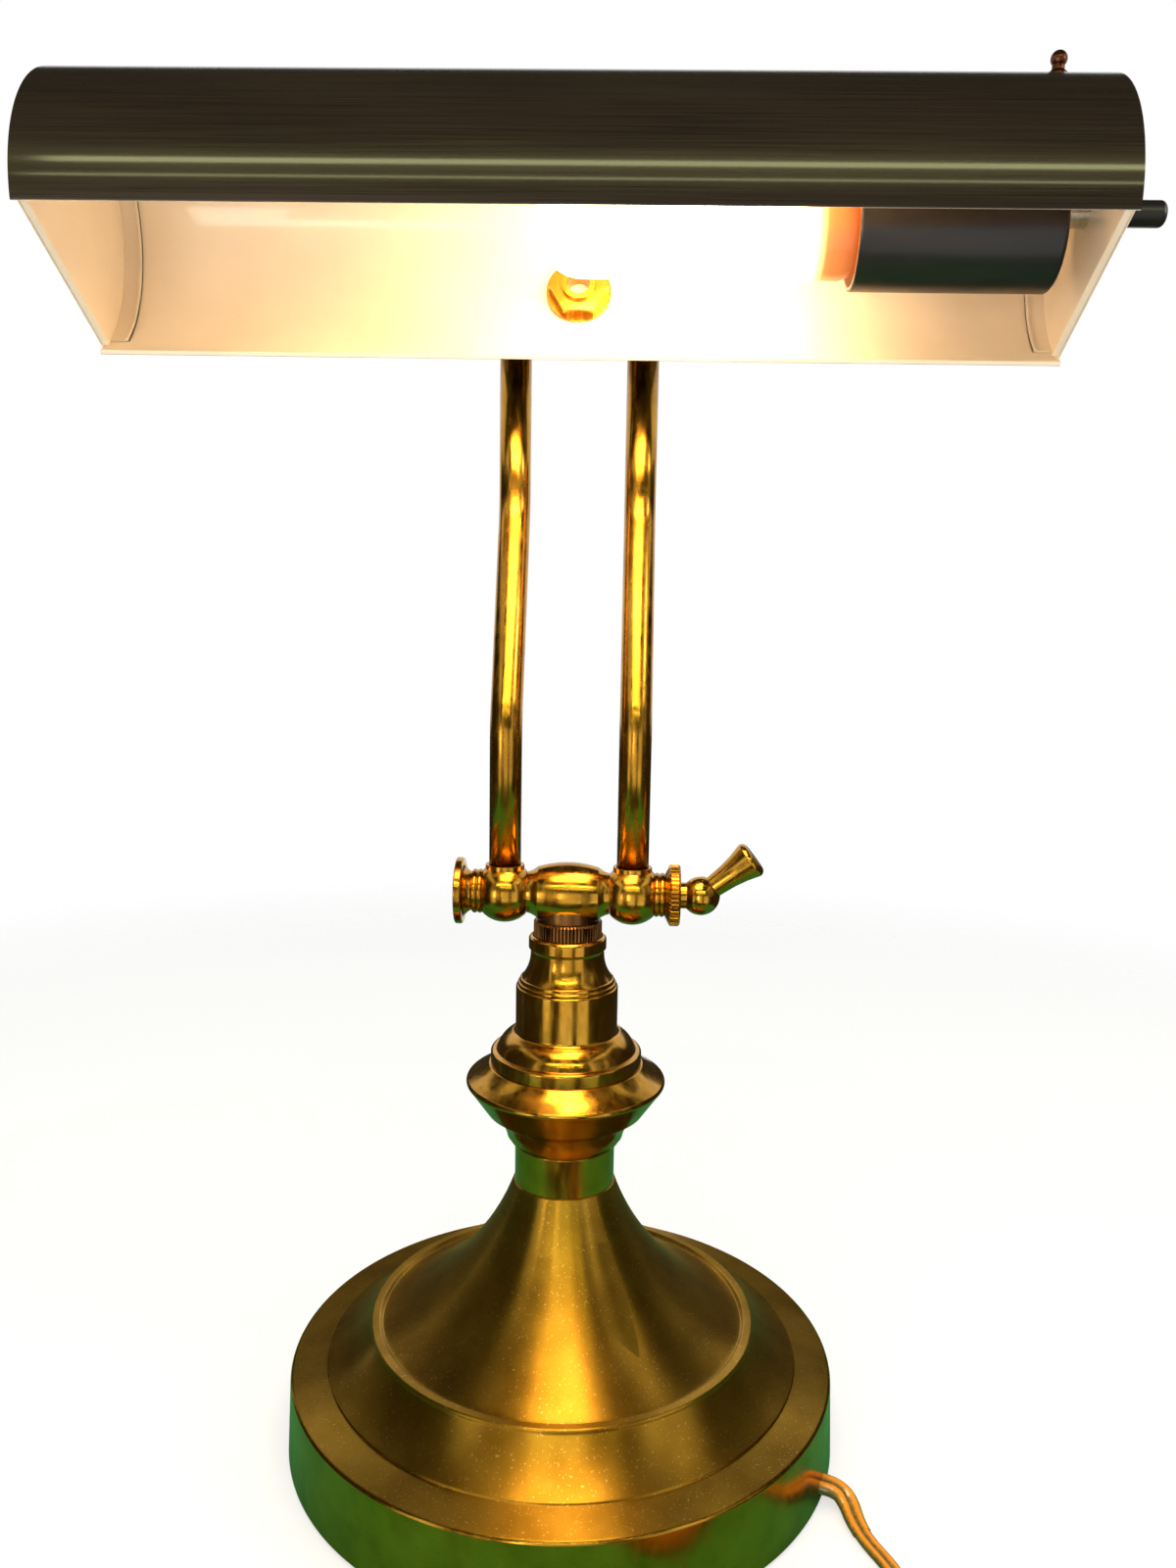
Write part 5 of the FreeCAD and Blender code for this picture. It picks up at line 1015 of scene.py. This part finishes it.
STRIP_TINT = "#e2e6a8"
soft_lamp("front_lamp", (-0.42, -0.95, 0.22), (0, 0, 0.2), (0.55, 0.36), 4, "#fff4e2")
soft_lamp("shade_glow", (0.0, -0.105, 0.452), (0, -0.03, 0.08), (0.16, 0.09), 0.6, "#ffd9a0", seen=False)
soft_lamp("top_lamp", (0.1, -0.2, 1.5), (0, 0, 0.1), (1.6, 1.4), 9, "#ffffff", mirrored=False)
soft_lamp("right_lamp", (1.1, -0.5, 0.8), (0, 0, 0.25), (0.3, 0.5), 4, "#fff8ee")
soft_lamp("low_strip", (0.0, -1.15, 0.85), (0, 0, 0.47), (1.35, 0.030), 1.8, STRIP_TINT)
soft_lamp("high_strip", (0.0, -1.10, 1.10), (0, 0, 0.47), (1.35, 0.085), 6.0, STRIP_TINT)
print("lamps:", [lamp.name for lamp in bpy.data.lights])

# %% [markdown]
# ## Dark cards
# Polished brass looks like brass only when it has something dark to mirror.  Black cards in a
# studio would also take light away, so these are seen by mirror rays alone: a green table cloth
# round the foot, cards over and in front, and a ring of cards about the lamp.

# %% Dark cards
CLOTH_IN, CLOTH_GROWTH, CLOTH_HEIGHT = 0.1135, 4.0, 0.0004
CARD_DISTANCE = 0.34


def dull_finish(name, code):
    """A matt finish of one colour, for things that only mirrors see."""
    made, tree, _ = start_finish(name)
    end_finish(tree, {"Base Color": colour(code), "Roughness": 1.0})
    return made


def mirrored_only(item):
    """Hide the object from all rays but those that mirrors send."""
    item.visible_camera = item.visible_diffuse = item.visible_shadow = item.visible_transmission = False


black_card = dull_finish("dark card", "#2a281c")
green_cloth = dull_finish("green table cloth", "#388a56")
bm = bmesh.new()
bmesh.ops.create_circle(bm, radius=CLOTH_IN, segments=96)
outer_rim = bmesh.ops.extrude_edge_only(bm, edges=bm.edges[:])["geom"]
bmesh.ops.scale(bm, vec=(CLOTH_GROWTH, CLOTH_GROWTH, 1), verts=only(bmesh.types.BMVert, outer_rim))
bmesh.ops.translate(bm, vec=(0, 0, CLOTH_HEIGHT), verts=bm.verts)
mirrored_only(stage_piece("card_under", bm, green_cloth))


def card(name, centre, width, height, turn=0.0, tip=0.0):
    """A flat dark card, in metres and degrees."""
    bm = bmesh.new()
    bmesh.ops.create_grid(bm, x_segments=1, y_segments=1, size=0.5)
    bmesh.ops.scale(bm, verts=bm.verts, vec=(width, height, 1))
    turned = Matrix.Rotation(math.radians(turn), 4, "Z") @ Matrix.Rotation(math.radians(90 + tip), 4, "X")
    bmesh.ops.transform(bm, matrix=Matrix.Translation(centre) @ turned, verts=bm.verts)
    mirrored_only(stage_piece(name, bm, black_card))


card("card_on_cloth", (0, -0.30, 0.0008), 0.44, 0.18, tip=-90)
card("card_front_high", (0, -1.2, 1.06), 2.4, 1.2)
card("card_above", (0, 0.15, 1.66), 2.4, 2.7, tip=-90)
# Bearings are degrees from the front, counted towards +X, and heights are metres.
for name, start, end, height in (
        ("card_front_left", -34, -12, 0.40), ("card_front_right", 15, 25, 0.36), ("card_right_front", 50, 85, 0.48),
        ("card_right_back", 85, 125, 0.48), ("card_back_right", 125, 168, 0.27), ("card_back_left", -168, -125, 0.27),
        ("card_left_back", -125, -112, 0.48), ("card_left_front", -112, -50, 0.48)):
    bearing, half = (start + end) / 2, math.radians((end - start) / 2)
    middle = math.radians(bearing)
    centre = (math.sin(middle) * CARD_DISTANCE, -math.cos(middle) * CARD_DISTANCE, height / 2)
    card(name, centre, 2 * CARD_DISTANCE * math.tan(half), height, bearing)
print("meshes in the scene:", len(bpy.data.meshes))
